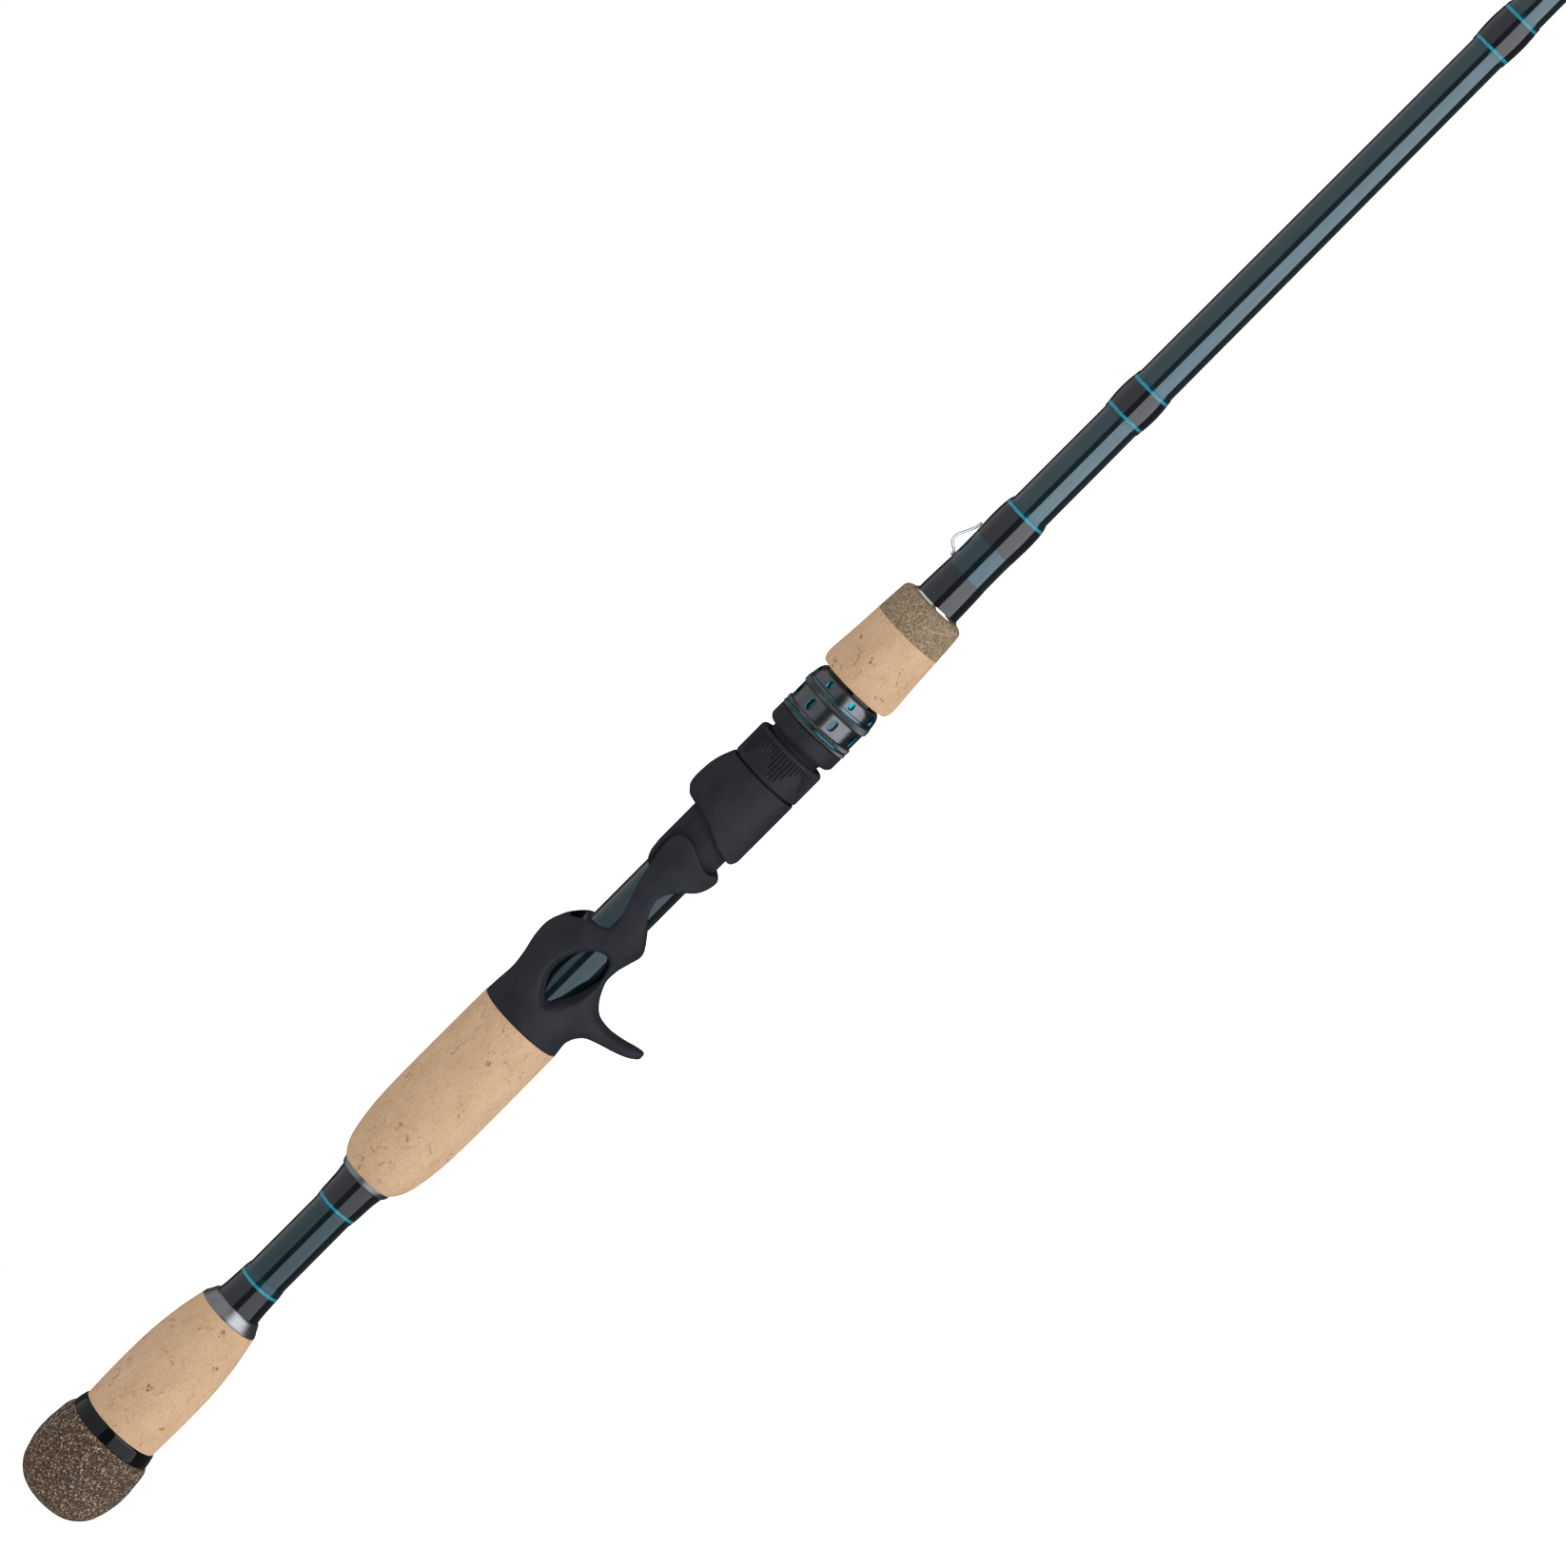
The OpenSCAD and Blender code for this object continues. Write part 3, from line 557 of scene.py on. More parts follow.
def solid(name, shape, values=None):
    """An object from a shape in millimetres; values are its vertices' attribute pit."""
    verts, faces = shape
    mesh = bpy.data.meshes.new(name)
    mesh.from_pydata(np.asarray(verts, float) * MM, [], [tuple(map(int, f)) for f in faces])
    if values is not None:
        layer = mesh.attributes.new("pit", "FLOAT", "POINT")
        layer.data.foreach_set("value", np.asarray(values, np.float32).ravel())
    bm = bmesh.new()
    bm.from_mesh(mesh)
    bmesh.ops.remove_doubles(bm, verts=bm.verts, dist=1e-7)
    bmesh.ops.recalc_face_normals(bm, faces=bm.faces)
    bm.to_mesh(mesh)
    bm.free()
    return add(name, mesh)


def stand_in(node, shape, crease=40, values=None):
    """A detailed piece in place of a CAD node, on its body, with its slot and its finish.

    Edges of more than crease degrees stay sharp."""
    piece = solid(f"{node}_fine", shape, values)
    mesh = piece.data
    mesh.polygons.foreach_set("use_smooth", [True] * len(mesh.polygons))
    mesh.set_sharp_from_angle(angle=math.radians(crease))
    mesh.materials.append(LOOKS[slots[node]])
    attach(piece, bodies[node])
    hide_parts(node)
    return piece


EDGE_BLUR = 0.1
WIDEST_MARGIN = 3


def turned_piece(node, step=0.6, sides=96, spread=0.7, push=None, trim=None, blind=None,
                 **options):
    """A turned node again, with its profile smoothed over about spread.

    Its thread ends at the edges of its trim, with pit at 1 past them. A blind bore from the
    front stops at blind."""
    outer, first, last = outer_profile(node)
    line = softened(outer, step, spread) if spread else straight_line(outer, step)
    profile = np.array([[outer[0][0], first], *line, [outer[-1][0], last]])
    if blind is not None:
        profile = np.array([[outer[0][0], 0], *line, [outer[-1][0], last], [blind, last],
                            [blind, 0]])
    if trim:
        (start, end), (low, high), x = station(node), station(trim), profile[:, 0]
        bare = np.clip((low - x) / EDGE_BLUR, 0, 1) * (low - start < WIDEST_MARGIN)
        bare = bare + np.clip((x - high) / EDGE_BLUR, 0, 1) * (end - high < WIDEST_MARGIN)
        options["values"] = np.repeat(bare, sides)
    return stand_in(node, turn(profile, sides, push), **options)


# ---- Cork grips ----

CORK_RING = 12.7
JOINT_HALF_W = 0.15
JOINT_PIT = 0.07
PIT_DEPTH = 0.32
MARK_REACH = 2.2
ALONG_SHARE = 0.7
UNBROKEN_SHARE = 0.82
WANDER = 0.35


def cork_pits(x, angle, radius, seed, rows_per_ring):
    """How deep a cork surface is pitted at every x and angle, from 0 to about 1."""
    rng = np.random.default_rng(seed)
    depth = np.zeros((len(x), len(angle)))
    start, end = x[0], x[-1]

    def mark(x0, a0, half_x, half_round, deep):
        rows = np.nonzero(np.abs(x - x0) < MARK_REACH * half_x)[0]
        if not len(rows):
            return
        off = (angle - a0 + math.pi) % math.tau - math.pi
        columns = np.nonzero(np.abs(off) * radius < MARK_REACH * half_round)[0]
        dx = (x[rows] - x0)[:, None] / half_x
        dr = (off[columns] * radius)[None, :] / half_round
        blot = deep * np.exp(-(dx * dx + dr * dr)**1.5)
        here = np.ix_(rows, columns)
        depth[here] = np.maximum(depth[here], blot)

    def trail(x0, a0, reach, heading, thick):
        """A ragged crack that starts at x0, a0 and runs for reach with breaks in it."""
        x1, r1 = x0, 0.0
        strength = rng.uniform(0.25, 0.75)
        while reach > 0:
            step = rng.uniform(0.2, 0.45)
            heading += rng.normal(0, WANDER)
            x1 += step * math.cos(heading)
            r1 += step * math.sin(heading)
            reach -= step
            if rng.random() < UNBROKEN_SHARE:
                long, thin = rng.uniform(0.2, 0.42), thick * rng.uniform(0.7, 1.6)
                lies = abs(math.cos(heading))
                mark(x1, a0 + r1 / radius, thin + (long - thin) * lies, long + (thin - long) * lies,
                     strength * rng.uniform(0.55, 1.2))

    joints = np.arange(start, end, CORK_RING)
    for ring_start in joints:
        for _ in range(rows_per_ring):
            along = rng.random() < ALONG_SHARE
            heading = rng.normal(0, 0.25) if along else rng.normal(math.pi / 2, 0.5)
            trail(ring_start + rng.uniform(0.3, CORK_RING - 1), rng.uniform(0, math.tau),
                  rng.uniform(0.8, 6) if along else rng.uniform(0.6, 3), heading,
                  rng.uniform(0.07, 0.13))
        for _ in range(max(1, rows_per_ring // 6)):
            x0 = ring_start + rng.uniform(1, CORK_RING - 1)
            a0 = rng.uniform(0, math.tau)
            for _ in range(rng.integers(3, 8)):
                mark(x0 + rng.normal(0, 0.6), a0 + rng.normal(0, 0.5) / radius,
                     rng.uniform(0.15, 0.5), rng.uniform(0.12, 0.4), rng.uniform(0.4, 1))
    for joint in joints[1:]:
        near = np.abs(x - joint) < JOINT_HALF_W
        depth[near] = np.maximum(depth[near], JOINT_PIT)
    return depth


def cork_piece(node, seed, rows_per_ring, step=0.24):
    outer, first, last = outer_profile(node)
    line = softened(outer, step if FINE else 0.6, 1.2)
    radius = line[:, 1].mean()
    sides = int(math.tau * radius / (0.2 if FINE else 0.6))
    angle = round_angles(sides)
    pits = cork_pits(line[:, 0], angle, radius, seed, rows_per_ring)
    verts, faces = turn([[outer[0][0], first], *line, [outer[-1][0], last]], sides)
    grid = verts.reshape(-1, sides, 3)
    shrink = 1 - PIT_DEPTH * pits**1.3 / line[:, 1:2]
    grid[1:-1, :, 1:] *= shrink[:, :, None]
    values = np.zeros(grid.shape[:2])
    values[1:-1] = pits
    stand_in(node, (grid.reshape(-1, 3), faces), values=values)


cork_piece("rear_grip", 11, 32)
cork_piece("main_grip", 23, 30)
cork_piece("fore_grip", 37, 26)

# ---- Butt cap, rings, checks and wraps ----

WRAP_SPREAD = 0.9


def rough_granules(amount, seed):
    """Small dents left where granules of the rubberised cork meet."""
    rng = np.random.default_rng(seed)
    waves = [(rng.uniform(0.7, 2.6), rng.integers(8, 60), rng.uniform(0, 7)) for _ in range(14)]

    def push(x, angle, radius):
        total = sum(np.sin(x * fx + fa * angle + at) for fx, fa, at in waves) / len(waves)
        return radius - amount * (0.5 + np.clip(total, -0.5, 0.5)) * (radius > 7)
    return push


turned_piece("butt_cap", 0.35, 240, 1.0, push=rough_granules(0.09, 5), blind=4.5, crease=60)
turned_piece("fore_tip", 0.35, 200, 0.5, push=rough_granules(0.06, 6), crease=60)
turned_piece("blank", 2.0, 64, spread=12, crease=60)
turned_piece("butt_ring", 0.15, 128, spread=0.25)
for node in ("rear_check", "main_check", "fore_check"):
    turned_piece(node, 0.06, 128, spread=0.12)
for node in ("seat_core", "lock_spacer"):
    turned_piece(node, 1.0, 128, spread=0)
for node in ("keeper_wrap_rear", "keeper_coat", "tip_wrap"):
    turned_piece(node, 0.25, 128, spread=WRAP_SPREAD, crease=60)

TRIM_W = 0.9
TRIM_MARGIN = 0.14
TRIM_LIFT = 0.004
TRIM_SUNK = 0.12
STRAND_W = 0.2
STRAND_HIGH = 0.03


def trim_piece(node, wrap, bands):
    """Coloured thread in the middle of a wrap or near its two ends, a hair above its surface."""
    outline = softened(outer_profile(wrap)[0], 0.1, WRAP_SPREAD)
    start, end = station(node)
    margin = TRIM_MARGIN if bands == 2 else (end - start - TRIM_W) / 2
    rings = []
    for low in (start + margin, end - margin - TRIM_W)[:bands]:
        high = low + TRIM_W
        x = np.linspace(low, high, 49)
        r = np.interp(x, outline[:, 0], outline[:, 1]) + TRIM_LIFT
        strand = STRAND_HIGH * np.abs(np.sin((x - low) / STRAND_W * math.pi))**0.5
        edge = np.minimum(1, np.minimum(x - low, high - x) / 0.04)
        profile = [[low, r[0] - TRIM_SUNK], *np.stack([x, r - 0.02 + strand * edge], axis=1),
                   [high, r[-1] - TRIM_SUNK]]
        rings.append(turn(profile, 128))
    stand_in(node, joined(*rings), crease=70)


TRIMMED = (("rear_trim", "rear_wrap", 1), ("mid_trim", "mid_wrap", 1),
           ("keeper_trim", "keeper_wrap_front", 1), ("band_a_trim", "band_a_wrap", 2),
           ("band_b_trim", "band_b_wrap", 2))
for trim, wrap, bands in TRIMMED:
    turned_piece(wrap, 0.15, 128, spread=WRAP_SPREAD, trim=trim, crease=60)
for trim, wrap, bands in TRIMMED:
    trim_piece(trim, wrap, bands)

keeper = smooth_line([[352, 0, 6.75], [353, 0, 7], [353.8, 0, 8.2], [354.6, 0, 9.1],
                      [355.7, 0, 9.4], [357.3, 0, 9.05], [359.8, 0, 7.9], [361.6, 0, 7.15],
                      [363, 0, 7]], 0.12)
stand_in("hook_keeper", tube(keeper, 0.45), crease=60)

# ---- Reel seat ----

BORE_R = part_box("seat_core")[1].z / MM + 0.05
BARREL_R = 8.2
SHAFT_START = 241.4
DECK_Z = 8.0
DECK_HALF_W = 5.5
TRIGGER_TIP_Z = -29.3
WINDOW_FLARE = 0.45
seat_start, seat_end = station("seat_body")

# Top, bottom and half width of the seat body along the rod
seat_rows = smooth_line([
    [183, 12.7, -12.7, 12.7], [187.5, 12.4, -12.2, 12.1], [192.3, 12.1, -12.1, 10.7],
    [197.1, 12.7, -11.6, 9.5], [201.8, 13.7, -9.7, 8.9], [205.7, 14, -8.6, 8.7],
    [208.4, 13.6, -8.4, 8.7], [211.4, 12.4, -8.7, 8.9], [214.5, 11.2, -9.5, 9.4],
    [218.5, 10.7, -10.5, 10.3], [225, 10.7, -10.7, 10.7], [251.2, 10.7, -10.7, 10.7]], 0.5)
# Rear edge, front edge and half width of the trigger down its height
trigger_rows = smooth_line([
    [-29.4, 198.2, 199.3, 0.5], [-28.7, 197.4, 200.1, 2.1], [-26.3, 195.9, 199.7, 3.4],
    [-22.6, 194.5, 198.7, 4], [-18.5, 193.3, 198.1, 4.3], [-15.1, 192, 198.4, 4.9],
    [-12.9, 190.3, 199.2, 5.7], [-11, 188.3, 200.8, 6.6], [-9, 187, 203.4, 7.6],
    [-7, 186.4, 206, 8.4]], 0.5)
top_opening = [*smooth_line([
    [210.3, 14], [213.9, 10.3], [216.3, 7.1], [217, 4], [219.2, 1.4], [223.7, 1.7], [232.7, 4.6],
    [241.1, 6.4], [246.5, 6.9], [250, 5.6], [250.6, 2.5], [248.6, -2.4], [247.2, -6.2],
    [247.8, -9], [246.4, -11.2]], 1), [262, -12], [262, 30], [208, 30]]
bottom_opening = [*smooth_line([
    [217.6, -11.6], [221.9, -8.4], [226.2, -4.85], [230.6, -2.4], [234.4, -2.1], [238.3, -4.7],
    [241.4, -8.7], [245.4, -11.6]], 1), [245.4, -14], [217.6, -14]]
side_window = smooth_line([
    [193.1, 0.2], [197, 3.4], [201.4, 4.4], [206.8, 3.4], [211.0, 0.5], [212.6, -2.6],
    [211.2, -5.3], [206.4, -6.6], [200.4, -5], [196, -2.6]], 1, closed=True)


def loft(rows, at, across, up, power=2.25, top_power=None):
    """Distance to a body of rounded-square sections; rows give [at, top, bottom, half width]."""
    rows = rows[np.argsort(rows[:, 0])]
    top, bottom, half = (np.interp(at, rows[:, 0], rows[:, k]) for k in (1, 2, 3))
    middle, tall = (top + bottom) / 2, np.maximum(np.abs(top - bottom) / 2, 0.05)
    half = np.maximum(half, 0.05)
    if top_power is not None:
        power = np.where(up > middle, top_power, power)
    ratio = ((np.abs(across) / half)**power + (np.abs(up - middle) / tall)**power)**(1 / power)
    return (ratio - 1) * np.minimum(half, tall)


def beam(start, end, half_w, low, high, x, y, z):
    """Distance to a box along the rod."""
    return np.maximum(np.maximum(start - x, x - end),
                      np.maximum(np.abs(y) - half_w, np.maximum(low - z, z - high)))


def pocket(start, end, low, high, half_w, spring_z, arch_r, x, y, z):
    """Distance to the arched space that holds one end of a reel foot."""
    arch = np.hypot(y, z - spring_z) - arch_r
    return blend_max(beam(start, end, half_w, low, high, x, y, z), arch, 0.6)


def seat_field(x, y, z):
    round_r = np.hypot(y, z)
    shell = loft(seat_rows, x, y, z, 2.2, np.interp(x, [186, 198, 212, 222], [2.2, 3, 3, 2.2]))
    shell = blend_max(shell, np.maximum(seat_start - x, x - seat_end), 0.7)
    trigger = loft(trigger_rows, z, y, x, 2.4)
    trigger = np.maximum(trigger, np.maximum(TRIGGER_TIP_Z - z, z + 6))
    shell = blend_min(shell, trigger, 3.2)
    shell = blend_max(shell, -outline_distance(top_opening, x, z), 0.5)
    shell = blend_max(shell, -outline_distance(bottom_opening, x, z), 1.3)
    flare = WINDOW_FLARE * np.clip(round_r - 7.1, 0, 4)
    shell = blend_max(shell, flare - outline_distance(side_window, x, z), 0.9)
    shell = blend_max(shell, -pocket(199.6, 224, 7.25, 11.1, 6.9, 2.1, 9.1, x, y, z), 0.45)
    inside = np.maximum(BORE_R - round_r,
                        np.where(x > SHAFT_START - 0.1, BARREL_R + 0.13 - round_r, -9))
    deck = -beam(236.5, 262, DECK_HALF_W + 0.1, 2, 30, x, y, z)
    return blend_max(blend_max(shell, inside, 0.3), deck, 0.4)


def liner_field(x, y, z):
    return beam(200.2, 215.8, 6.75, 7.3, 7.58, x, y, z)


# Top edge of the deck pad and of the rail under the hood; past the rail nothing is cut off
deck_line = np.array([[236.5, 4], [237.6, 5.6], [238.4, 7.1], [239.9, 7.6], [243.2, DECK_Z],
                      [257.4, DECK_Z], [257.42, 7.7], [258, 7.7], [258.02, 7.85], [268.2, 7.85],
                      [268.22, 30], [320, 30]])
THREAD_PITCH = 2.0
THREAD_DEPTH = 0.32
THREAD_START, THREAD_END = 269, 287.5
barrel_end = station("seat_barrel")[1]


def barrel_field(x, y, z):
    round_r = np.hypot(y, z)
    turned_by = np.arctan2(z, -y) / math.tau
    phase = (x / THREAD_PITCH - turned_by) % 1
    thread = THREAD_DEPTH * np.clip(1 - np.abs(phase - 0.5) * 4, 0, 0.7) / 0.7
    thread = thread * np.clip((x - THREAD_START) / 1.5, 0, 1) * np.clip(THREAD_END - x, 0, 1)
    shaft = round_r - np.where(x < 258, BARREL_R + 0.1, BARREL_R - thread)
    pad = np.maximum(beam(237.5, 268.2, DECK_HALF_W, 3, 9, x, y, z), round_r - 9.75)
    body = np.minimum(np.maximum(shaft, SHAFT_START - x), pad)
    body = blend_max(body, z - np.interp(x, deck_line[:, 0], deck_line[:, 1]), 0.5)
    bore = np.where(x < 256.1, BORE_R, 6.05)
    return blend_max(np.maximum(body, x - (barrel_end - 0.02)), bore - round_r, 0.3)


# ---- Hood, its liner and the locking nut ----

HOOD_FRONT = station("hood_shell")[1]
hood_rows = smooth_line([
    [250, 13.35, -10.7, 10.7], [258, 13.35, -10.7, 10.7], [264.5, 13.35, -10.7, 10.7],
    [268.4, 13.0, -10.7, 10.7], [271.4, 12.2, -10.7, 10.7], [HOOD_FRONT, 10.8, -10.7, 10.7]], 0.4)
hood_rear = [*smooth_line([
    [262.4, 14.2], [260.2, 13.1], [258.8, 11.6], [258.4, 8.2], [258.1, 5.35], [257, 2.1],
    [255.7, -0.15], [254.2, -3], [253.1, -6.4], [252.6, -9.2], [253.9, -11]], 0.5),
    [245, -14], [245, 30], [262.4, 30]]


def hood_field(x, y, z):
    round_r = np.hypot(y, z)
    shell = blend_max(loft(hood_rows, x, y, z), x - HOOD_FRONT, 0.5)
    shell = blend_max(shell, -outline_distance(hood_rear, x, z), 1.0)
    space = np.minimum(round_r - 8.6, beam(245, 272.6, DECK_HALF_W + 0.3, 0, 8.15, x, y, z))
    space = np.minimum(space, pocket(245, 267.8, 4, 12.3, 7.2, 4.4, 8.5, x, y, z))
    space = np.minimum(space, np.maximum(round_r - 9.75, 272.5 - x))
    return blend_max(shell, -space, 0.7)


def hood_liner_field(x, y, z):
    outer = pocket(260, 267.7, 9.2, 12.45, 7.15, 4.47, 8.55, x, y, z)
    inner = pocket(250, 280, 8, 12.14, 6.84, 4.47, 8.24, x, y, z)
    return np.maximum(outer, -inner)


for node, field, low, high, step, crease in (
        ("seat_body", seat_field, (182, -14, -30.5), (252.5, 14, 15), 0.22 if FINE else 0.55, 60),
        ("pocket_liner", liner_field, (199.5, -7.5, 6.9), (216.5, 7.5, 8), 0.1, 60),
        ("seat_barrel", barrel_field, (236.5, -10.2, -8.6), (309.5, 10.2, 9),
         0.25 if FINE else 0.5, 50),
        ("hood_shell", hood_field, (251.5, -11.5, -11.5), (276, 11.5, 14.2),
         0.18 if FINE else 0.45, 60),
        ("hood_liner", hood_liner_field, (259.4, -7.6, 8.8), (268.2, 7.6, 12.8), 0.12, 50)):
    stand_in(node, surface(field, low, high, step), crease=crease)

NUT_GROOVES = 60
NUT_R = 10.7
GROOVE_HALF_W = 0.34
GROOVE_DEPTH = 0.45
GROOVE_END = 284.8
NUT_END = station("locking_nut")[1]


def finger_grooves(x, angle, radius):
    """Fine grooves along the nut; their rear ends draw six waves round it."""
    across = (angle * NUT_GROOVES / math.tau) % 1
    across = np.minimum(across, 1 - across) * math.tau * NUT_R / NUT_GROOVES
    middle = np.round(angle * NUT_GROOVES / math.tau) * math.tau / NUT_GROOVES
    wide = np.clip((GROOVE_HALF_W - across) / 0.14, 0, 1)
    start = 276.7 + 6.2 * (0.5 - 0.5 * np.cos(6 * middle))
    ends = np.clip((x - start) / 0.35, 0, 1) * np.clip((GROOVE_END - x) / 0.3, 0, 1)
    return radius - GROOVE_DEPTH * wide * ends * (radius > NUT_R - 0.4)


nut_profile = straight_line(rounded([
    [272.9, 8.27], [272.9, 9.4], [275.3, 9.4], [275.3, 10.35], [275.65, NUT_R], [285, NUT_R],
    [285.6, 10.4], [NUT_END, 10], [NUT_END, 9.1], [285.3, 8.27], [272.95, 8.27]], 0.25), 0.12)
stand_in("locking_nut", turn(nut_profile[:-1], NUT_GROOVES * (14 if FINE else 8), finger_grooves),
         crease=50)

# ---- Lock ring ----

base_start, base_end = station("lock_base")
stand_in("lock_base", turn(straight_line(rounded([
    [base_start, 8.3], [base_start, 9.85], [base_start + 0.55, 10.45], [289.1, 10.85],
    [base_end - 0.25, 10.85], [base_end, 10.6], [base_end, 8.3]], 0.3), 0.4), 128))

band_1, band_2 = station("lock_drum")
KNURL_TEETH = 130
KNURL_PITCH = 0.52
KNURL_DEPTH = 0.16
KNURLED = ((293.35, 294.25), (294.85, 295.9), (301.45, 303.3))


def knurl(x, angle, radius):
    """Diamond knurling on the raised bands."""
    bands = sum((x > low) & (x < high) for low, high in KNURLED)
    along = (x - 293) / KNURL_PITCH
    round_by = angle * KNURL_TEETH / math.tau
    one, two = (round_by + along) % 1, (round_by - along) % 1
    groove = np.minimum(np.abs(one - 0.5), np.abs(two - 0.5)) * 2
    cut = KNURL_DEPTH * np.clip(1 - groove * 2.2, 0, 1)
    return radius - cut * bands * (radius > 10.85)


drum_profile = straight_line(rounded([
    [band_1, 9.65], [band_1, 10.75], [293.4, 11], [294.15, 11], [294.3, 10.72], [294.7, 10.72],
    [294.85, 11], [295.8, 11], [296.1, 10.6], [296.2, 10.55], [301.1, 10.55], [301.2, 10.6],
    [301.5, 11], [303.2, 11], [303.5, 10.72], [band_2, 10.72], [band_2, 9.65]], 0.08), 0.085)
WINDOWS = 8
WINDOW_PHASE = math.radians(12)


def oval_cutter(angle, middle, half_slot, reach, low, high):
    """Loft that cuts an oval window through a ring of radii low to high, flared outside.

    middle is its place along the rod, half_slot its straight part and reach its round ends."""
    t = round_angles(32)
    along = middle + half_slot * np.sign(np.cos(t)) * (np.abs(np.cos(t)) > 1e-6)
    rows = [np.stack([along + (reach + grow) * np.cos(t), (reach + grow) * np.sin(t),
                      np.full_like(t, r)], axis=1)
            for r, grow in ((low, 0), (high - 0.12, 0), (high, 0.1), (high + 0.5, 0.5))]
    tip = np.array([[1, 0, 0], [0, -math.sin(angle), -math.cos(angle)],
                    [0, math.cos(angle), -math.sin(angle)]])
    verts, faces = skin(rows)
    return verts @ tip.T, faces


def cut_windows(piece, *oval):
    """Cuts oval windows all round a ring; their walls take the accent's finish.

    The values after the piece are those of oval_cutter after its angle."""
    cutter = solid("cutter", joined(*[
        oval_cutter(WINDOW_PHASE + k * math.tau / WINDOWS, *oval) for k in range(WINDOWS)]))
    cutter.data.materials.append(LOOKS["accent"])
    made = piece.modifiers.new("windows", "BOOLEAN")
    made.operation, made.solver, made.object = "DIFFERENCE", "EXACT", cutter
    made.material_mode = "TRANSFER"
    bpy.context.view_layer.update()
    result = bpy.data.meshes.new_from_object(
        piece.evaluated_get(bpy.context.evaluated_depsgraph_get()))
    piece.modifiers.clear()
    piece.data = result
    bpy.data.objects.remove(cutter)
    result.set_sharp_from_angle(angle=math.radians(35))


drum_mesh = turn(drum_profile, KNURL_TEETH * (8 if FINE else 4), knurl)
drum = stand_in("lock_drum", drum_mesh, crease=50)
cut_windows(drum, 298.65, 0.6, 1.05, 9.2, 10.55)
turned_piece("lock_sleeve", 1.0, 128, spread=0)

nose_start, nose_end = station("lock_nose")
nose_profile = [[nose_start, 8.25], [nose_start, 10.55], *smooth_line([
    [nose_start + 0.15, 10.7], [305.2, 10.6], [306.6, 10.25], [nose_end - 0.1, 9.6]], 0.15),
    [nose_end, 9.5], [nose_end, 8.25]]
nose = stand_in("lock_nose", turn(nose_profile, 192), crease=35)
cut_windows(nose, 305.95, 0.3, 0.75, 9.5, 10.45)

accent_bands = [turn(rounded([[low, 10.7], [low, 10.86], [high, 10.86], [high, 10.7]], 0.05), 192)
                for low, high in ((294.37, 294.63), (303.61, 303.87))]
stand_in("accent_rings", joined(*accent_bands))

# ---- Guides and tip top ----

TIP_X = station("blank")[1] + 2
BLANK_LINE = outer_profile("blank")[0]
RING_SIZES = [12, 10, 8, 7, 6, 6, 6]
TWO_FOOTED = 3
HOLDER_WALL, HOLDER_HALF_T = 0.7, 0.55
FOOT_HALF_W = 0.8
LEG_TOP = math.radians(8)
TIP_WIRE_R = 0.38


def blank_r(x):
    return float(np.interp(x, BLANK_LINE[:, 0], BLANK_LINE[:, 1]))


def shifted(shape, x, z):
    verts = np.array(shape[0], float)
    verts[:, 0] += x
    verts[:, 2] += z
    return verts, shape[1]


def centre_of(node):
    low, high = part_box(node)
    return (low.x + high.x) / 2 / MM, (low.z + high.z) / 2 / MM


def ceramic(node):
    """Polished guide ring with a rounded bore."""
    x, z = centre_of(node)
    low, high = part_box(node)
    r, half_t = (high.z - low.z) / 2 / MM, (high.x - low.x) / 2 / MM
    wall = 0.55 + 0.12 * r
    across, out = np.cos(round_angles(24)), np.sin(round_angles(24))
    section = np.stack([half_t * np.sign(across) * np.abs(across)**0.8,
                        r - wall / 2 + wall / 2 * np.sign(out) * np.abs(out)**0.8], axis=1)
    stand_in(node, shifted(turn(section, 72), x, z), crease=80)


def holder(x, z, r):
    """Metal ring round a ceramic ring of radius r."""
    half, inner, outer = HOLDER_HALF_T, r + 0.03, r + HOLDER_WALL
    section = rounded([[-half, inner], [-half, outer], [half, outer], [half, inner],
                       [0.05 - half, inner]], 0.25)[:-1]
    return shifted(turn(section, 72), x, z)


def guide_legs(x, z, r, heel_x):
    """Two wire legs from LEG_TOP below the middle of a guide's ring down to its heel."""
    leg_r = 0.32 + 0.03 * r
    reach = r + leg_r + 0.06
    floor_z = blank_r(heel_x) + 0.38
    legs = []
    for side in (-1, 1):
        path = smooth_line([
            [x, side * reach * math.cos(LEG_TOP), z - reach * math.sin(LEG_TOP)],
            [x + (heel_x - x) * 0.28, side * reach * 0.82, z - reach * 0.62],
            [x + (heel_x - x) * 0.66, side * reach * 0.42, (z - reach + floor_z) / 2],
            [heel_x, side * 0.3, floor_z]], 0.35)
        legs.append(tube(path, leg_r * 0.96, 14))
    return legs


def guide_foot(heel_x, toe_x):
    """Foot ground thin towards its toe, lying on the blank."""
    rows = []
    for t in np.linspace(0, 1, 14):
        x = heel_x + (toe_x - heel_x) * t
        base = blank_r(x)
        high = base + 0.1 + 0.52 * (1 - t)**0.8
        half = FOOT_HALF_W * (0.95 - 0.3 * t)
        rows.append([[x, -half, base - 0.02], [x, -half, high - 0.1], [x, -half * 0.6, high],
                     [x, half * 0.6, high], [x, half, high - 0.1], [x, half, base - 0.02]])
    return skin(rows)


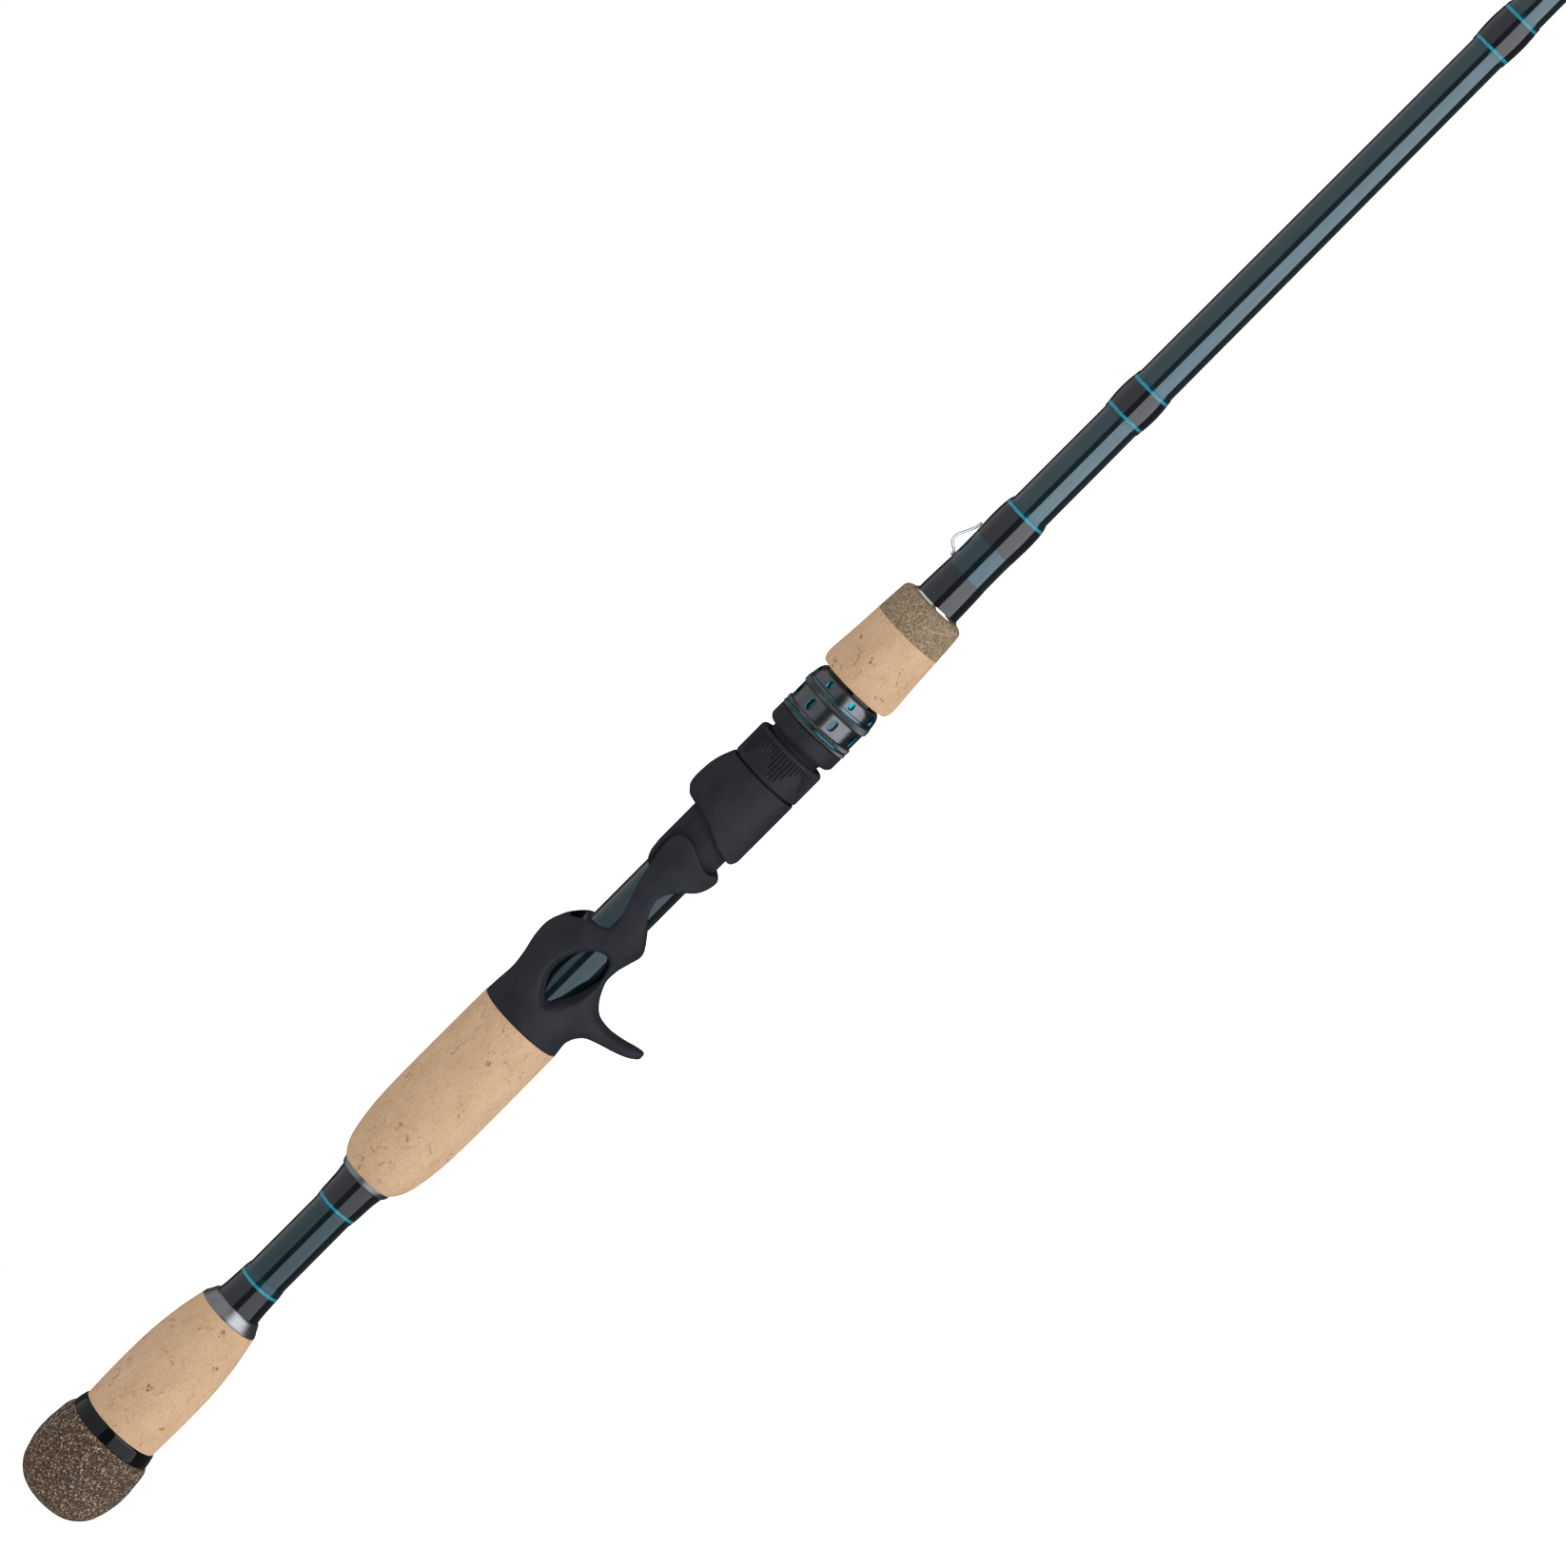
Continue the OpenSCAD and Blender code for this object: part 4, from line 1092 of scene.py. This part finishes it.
def foot_wrap(heel_x, toe_x):
    """Thread and finish over one foot, humped where the foot lies under it."""
    start, end = sorted((heel_x, toe_x))
    x = np.linspace(start, end, 40)
    t = (x - start) / (end - start)
    lift = 0.15 + 0.62 * np.clip(np.sin(math.pi * t), 0, 1)**0.45
    base = np.array([blank_r(v) for v in x])
    toward_heel = t if heel_x > toe_x else 1 - t

    def push(px, angle, radius):
        share = np.interp(px[:, 0], x, toward_heel)[:, None]
        over = np.exp(-((angle - math.pi / 2) * radius / 1.25)**2)
        inside = radius < np.interp(px, x, base) + 0.06
        hump = 0.22 * share**0.5 * over * np.clip(np.sin(math.pi * np.interp(px, x, t)) * 4, 0, 1)
        return np.where(inside, radius, radius + hump)

    profile = [[start, base[0] + 0.03], *np.stack([x, base + lift], axis=1),
               [end, base[-1] + 0.03]]
    return turn(profile, 72, push)


for k, size in enumerate(RING_SIZES, 1):
    ring_x, ring_z = centre_of(f"guide_{k}_ring")
    r = size / 2
    heel = 1.15 * r + 1.5
    toe = heel + 5 + 0.5 * r
    near, out = heel + 0.9, heel + 0.9 + 6 + 0.5 * r
    ends = (-1, 1) if k <= TWO_FOOTED else (-1,)
    parts = [holder(ring_x, ring_z, r)]
    for end in ends:
        parts += guide_legs(ring_x, ring_z, r, ring_x + end * heel)
        parts.append(guide_foot(ring_x + end * heel, ring_x + end * toe))
    stand_in(f"guide_{k}_frame", joined(*parts), crease=50)
    stand_in(f"guide_{k}_wrap", joined(*[
        foot_wrap(ring_x + end * near, ring_x + end * out) for end in ends]), crease=60)
    ceramic(f"guide_{k}_ring")

ceramic("tip_ring")
tip_x, tip_z = centre_of("tip_ring")
tip_r = 3.0
tube_r = blank_r(TIP_X - 4) + 0.52
tip_parts = [
    holder(tip_x, tip_z, tip_r),
    turn(rounded([[TIP_X - 14, blank_r(TIP_X - 14) + 0.04], [TIP_X - 14, tube_r], [TIP_X, tube_r],
                  [TIP_X, 0.01], [TIP_X - 0.9, 0.01], [TIP_X - 1, blank_r(TIP_X - 4) + 0.04]], 0.2),
         48),
    tube([[tip_x, 0, tip_z - tip_r - 0.5], [TIP_X - 1.6, 0, tube_r + 0.7],
          [TIP_X - 3.2, 0, tube_r - 0.3]], TIP_WIRE_R, 12)]
for side in (-1, 1):
    tip_parts.append(tube(smooth_line([
        [tip_x, side * (tip_r + 0.48), tip_z - 0.4],
        [tip_x - 1.4, side * (tip_r - 0.1), tip_z - tip_r * 0.8],
        [TIP_X - 5, side * 1.6, tube_r + 1], [TIP_X - 10, side * 0.8, tube_r - 0.1]], 0.35),
        TIP_WIRE_R, 12))
stand_in("tip_frame", joined(*tip_parts), crease=50)

# ---- Camera, floor and light ----


def placed(across, up, back, at):
    """World matrix of a camera or lamp from its axes and its place."""
    return Matrix([(across[i], up[i], back[i], at[i]) for i in range(3)] + [(0, 0, 0, 1)])


VIEW_TURN = math.radians(7.3)
VIEW_LIFT = math.radians(5.0)
ROD_SLOPE = math.radians(45.06)
TARGET = Vector((0.2773, 0.0, -0.0046))
DISTANCE = 2.075
toward = Vector((math.sin(VIEW_TURN) * math.cos(VIEW_LIFT),
                 -math.cos(VIEW_TURN) * math.cos(VIEW_LIFT), math.sin(VIEW_LIFT)))
rod_way = (Vector((1, 0, 0)) - toward * toward.x).normalized()
rod_up = toward.cross(rod_way)
right = rod_way * math.cos(ROD_SLOPE) - rod_up * math.sin(ROD_SLOPE)
up = rod_way * math.sin(ROD_SLOPE) + rod_up * math.cos(ROD_SLOPE)
camera_data = bpy.data.cameras.new("camera")
camera_data.lens = 181.0
camera_data.sensor_width = 36.0
camera_data.clip_end = 30.0
camera = add("camera", camera_data)
camera.matrix_world = placed(right, up, toward, TARGET + toward * DISTANCE)
bpy.context.scene.camera = camera

FLOOR_Z = -0.62
floor_mesh = bpy.data.meshes.new("floor")
floor_mesh.from_pydata([(x, y, FLOOR_Z) for x, y in ((-9, -9), (11, -9), (11, 11), (-9, 11))],
                       [], [(0, 1, 2, 3)])
floor = add("floor", floor_mesh)
floor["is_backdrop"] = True
floor_mesh.materials.append(Look("floor", (0.93, 0.93, 0.93), 0.9, Emission_Color=(1, 1, 1, 1),
                                 Emission_Strength=1.0).mat)
floor.visible_glossy = floor.visible_diffuse = False

COOL_WHITE = (0.965, 1.0, 1.055)


def softbox(name, centre_angle, distance, width, radiance, glossy, start=-1.0, end=2.5):
    """Long soft light beside the rod, on the camera's side and centre_angle below its level."""
    data = bpy.data.lights.new(name, "AREA")
    data.shape = "RECTANGLE"
    length, middle = end - start, (start + end) / 2
    data.size, data.size_y = length, width
    data.energy = radiance * math.pi * length * width
    data.color = COOL_WHITE if glossy else (1.0, 1.0, 1.0)
    lamp = add(name, data)
    a = math.radians(centre_angle)
    place = Vector((middle, -math.cos(a) * distance, -math.sin(a) * distance))
    back = (place - Vector((middle, 0, 0))).normalized()
    along = Vector((1, 0, 0))
    lamp.matrix_world = placed(along, back.cross(along), back, place)
    lamp.visible_camera = False
    lamp.visible_glossy = glossy
    lamp.visible_diffuse = not glossy


STRONGER_AHEAD_OF = 0.215
softbox("gloss_low_fore", 45, 0.42, 0.63, 3.1, True, start=STRONGER_AHEAD_OF)
softbox("gloss_low_rear", 45, 0.42, 0.63, 1.5, True, end=STRONGER_AHEAD_OF)
softbox("gloss_high", -76, 0.60, 1.75, 0.68, True)
softbox("soft_low", 50, 0.55, 0.8, 0.66, False)
softbox("soft_high", -45, 0.9, 1.2, 0.12, False)

world = bpy.data.worlds.new("world")
world.use_nodes = True
tree = world.node_tree
tree.nodes.clear()
path = tree.nodes.new("ShaderNodeLightPath")


def background(strength):
    made = tree.nodes.new("ShaderNodeBackground")
    made.inputs["Color"].default_value = (1, 1, 1, 1)
    made.inputs["Strength"].default_value = strength
    return made.outputs[0]


def switched(ray, off, on):
    """The background on for one kind of ray and off for the rest."""
    made = tree.nodes.new("ShaderNodeMixShader")
    for source, socket in zip((path.outputs[ray], off, on), made.inputs):
        tree.links.new(source, socket)
    return made.outputs[0]


ROOM_LIGHT, ROOM_REFLECTION = 0.67, 0.09
room = switched("Is Glossy Ray", background(ROOM_LIGHT), background(ROOM_REFLECTION))
tree.links.new(switched("Is Camera Ray", room, background(1.0)),
               tree.nodes.new("ShaderNodeOutputWorld").inputs["Surface"])
bpy.context.scene.world = world
bpy.context.scene.view_settings.view_transform = "Standard"

low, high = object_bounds()
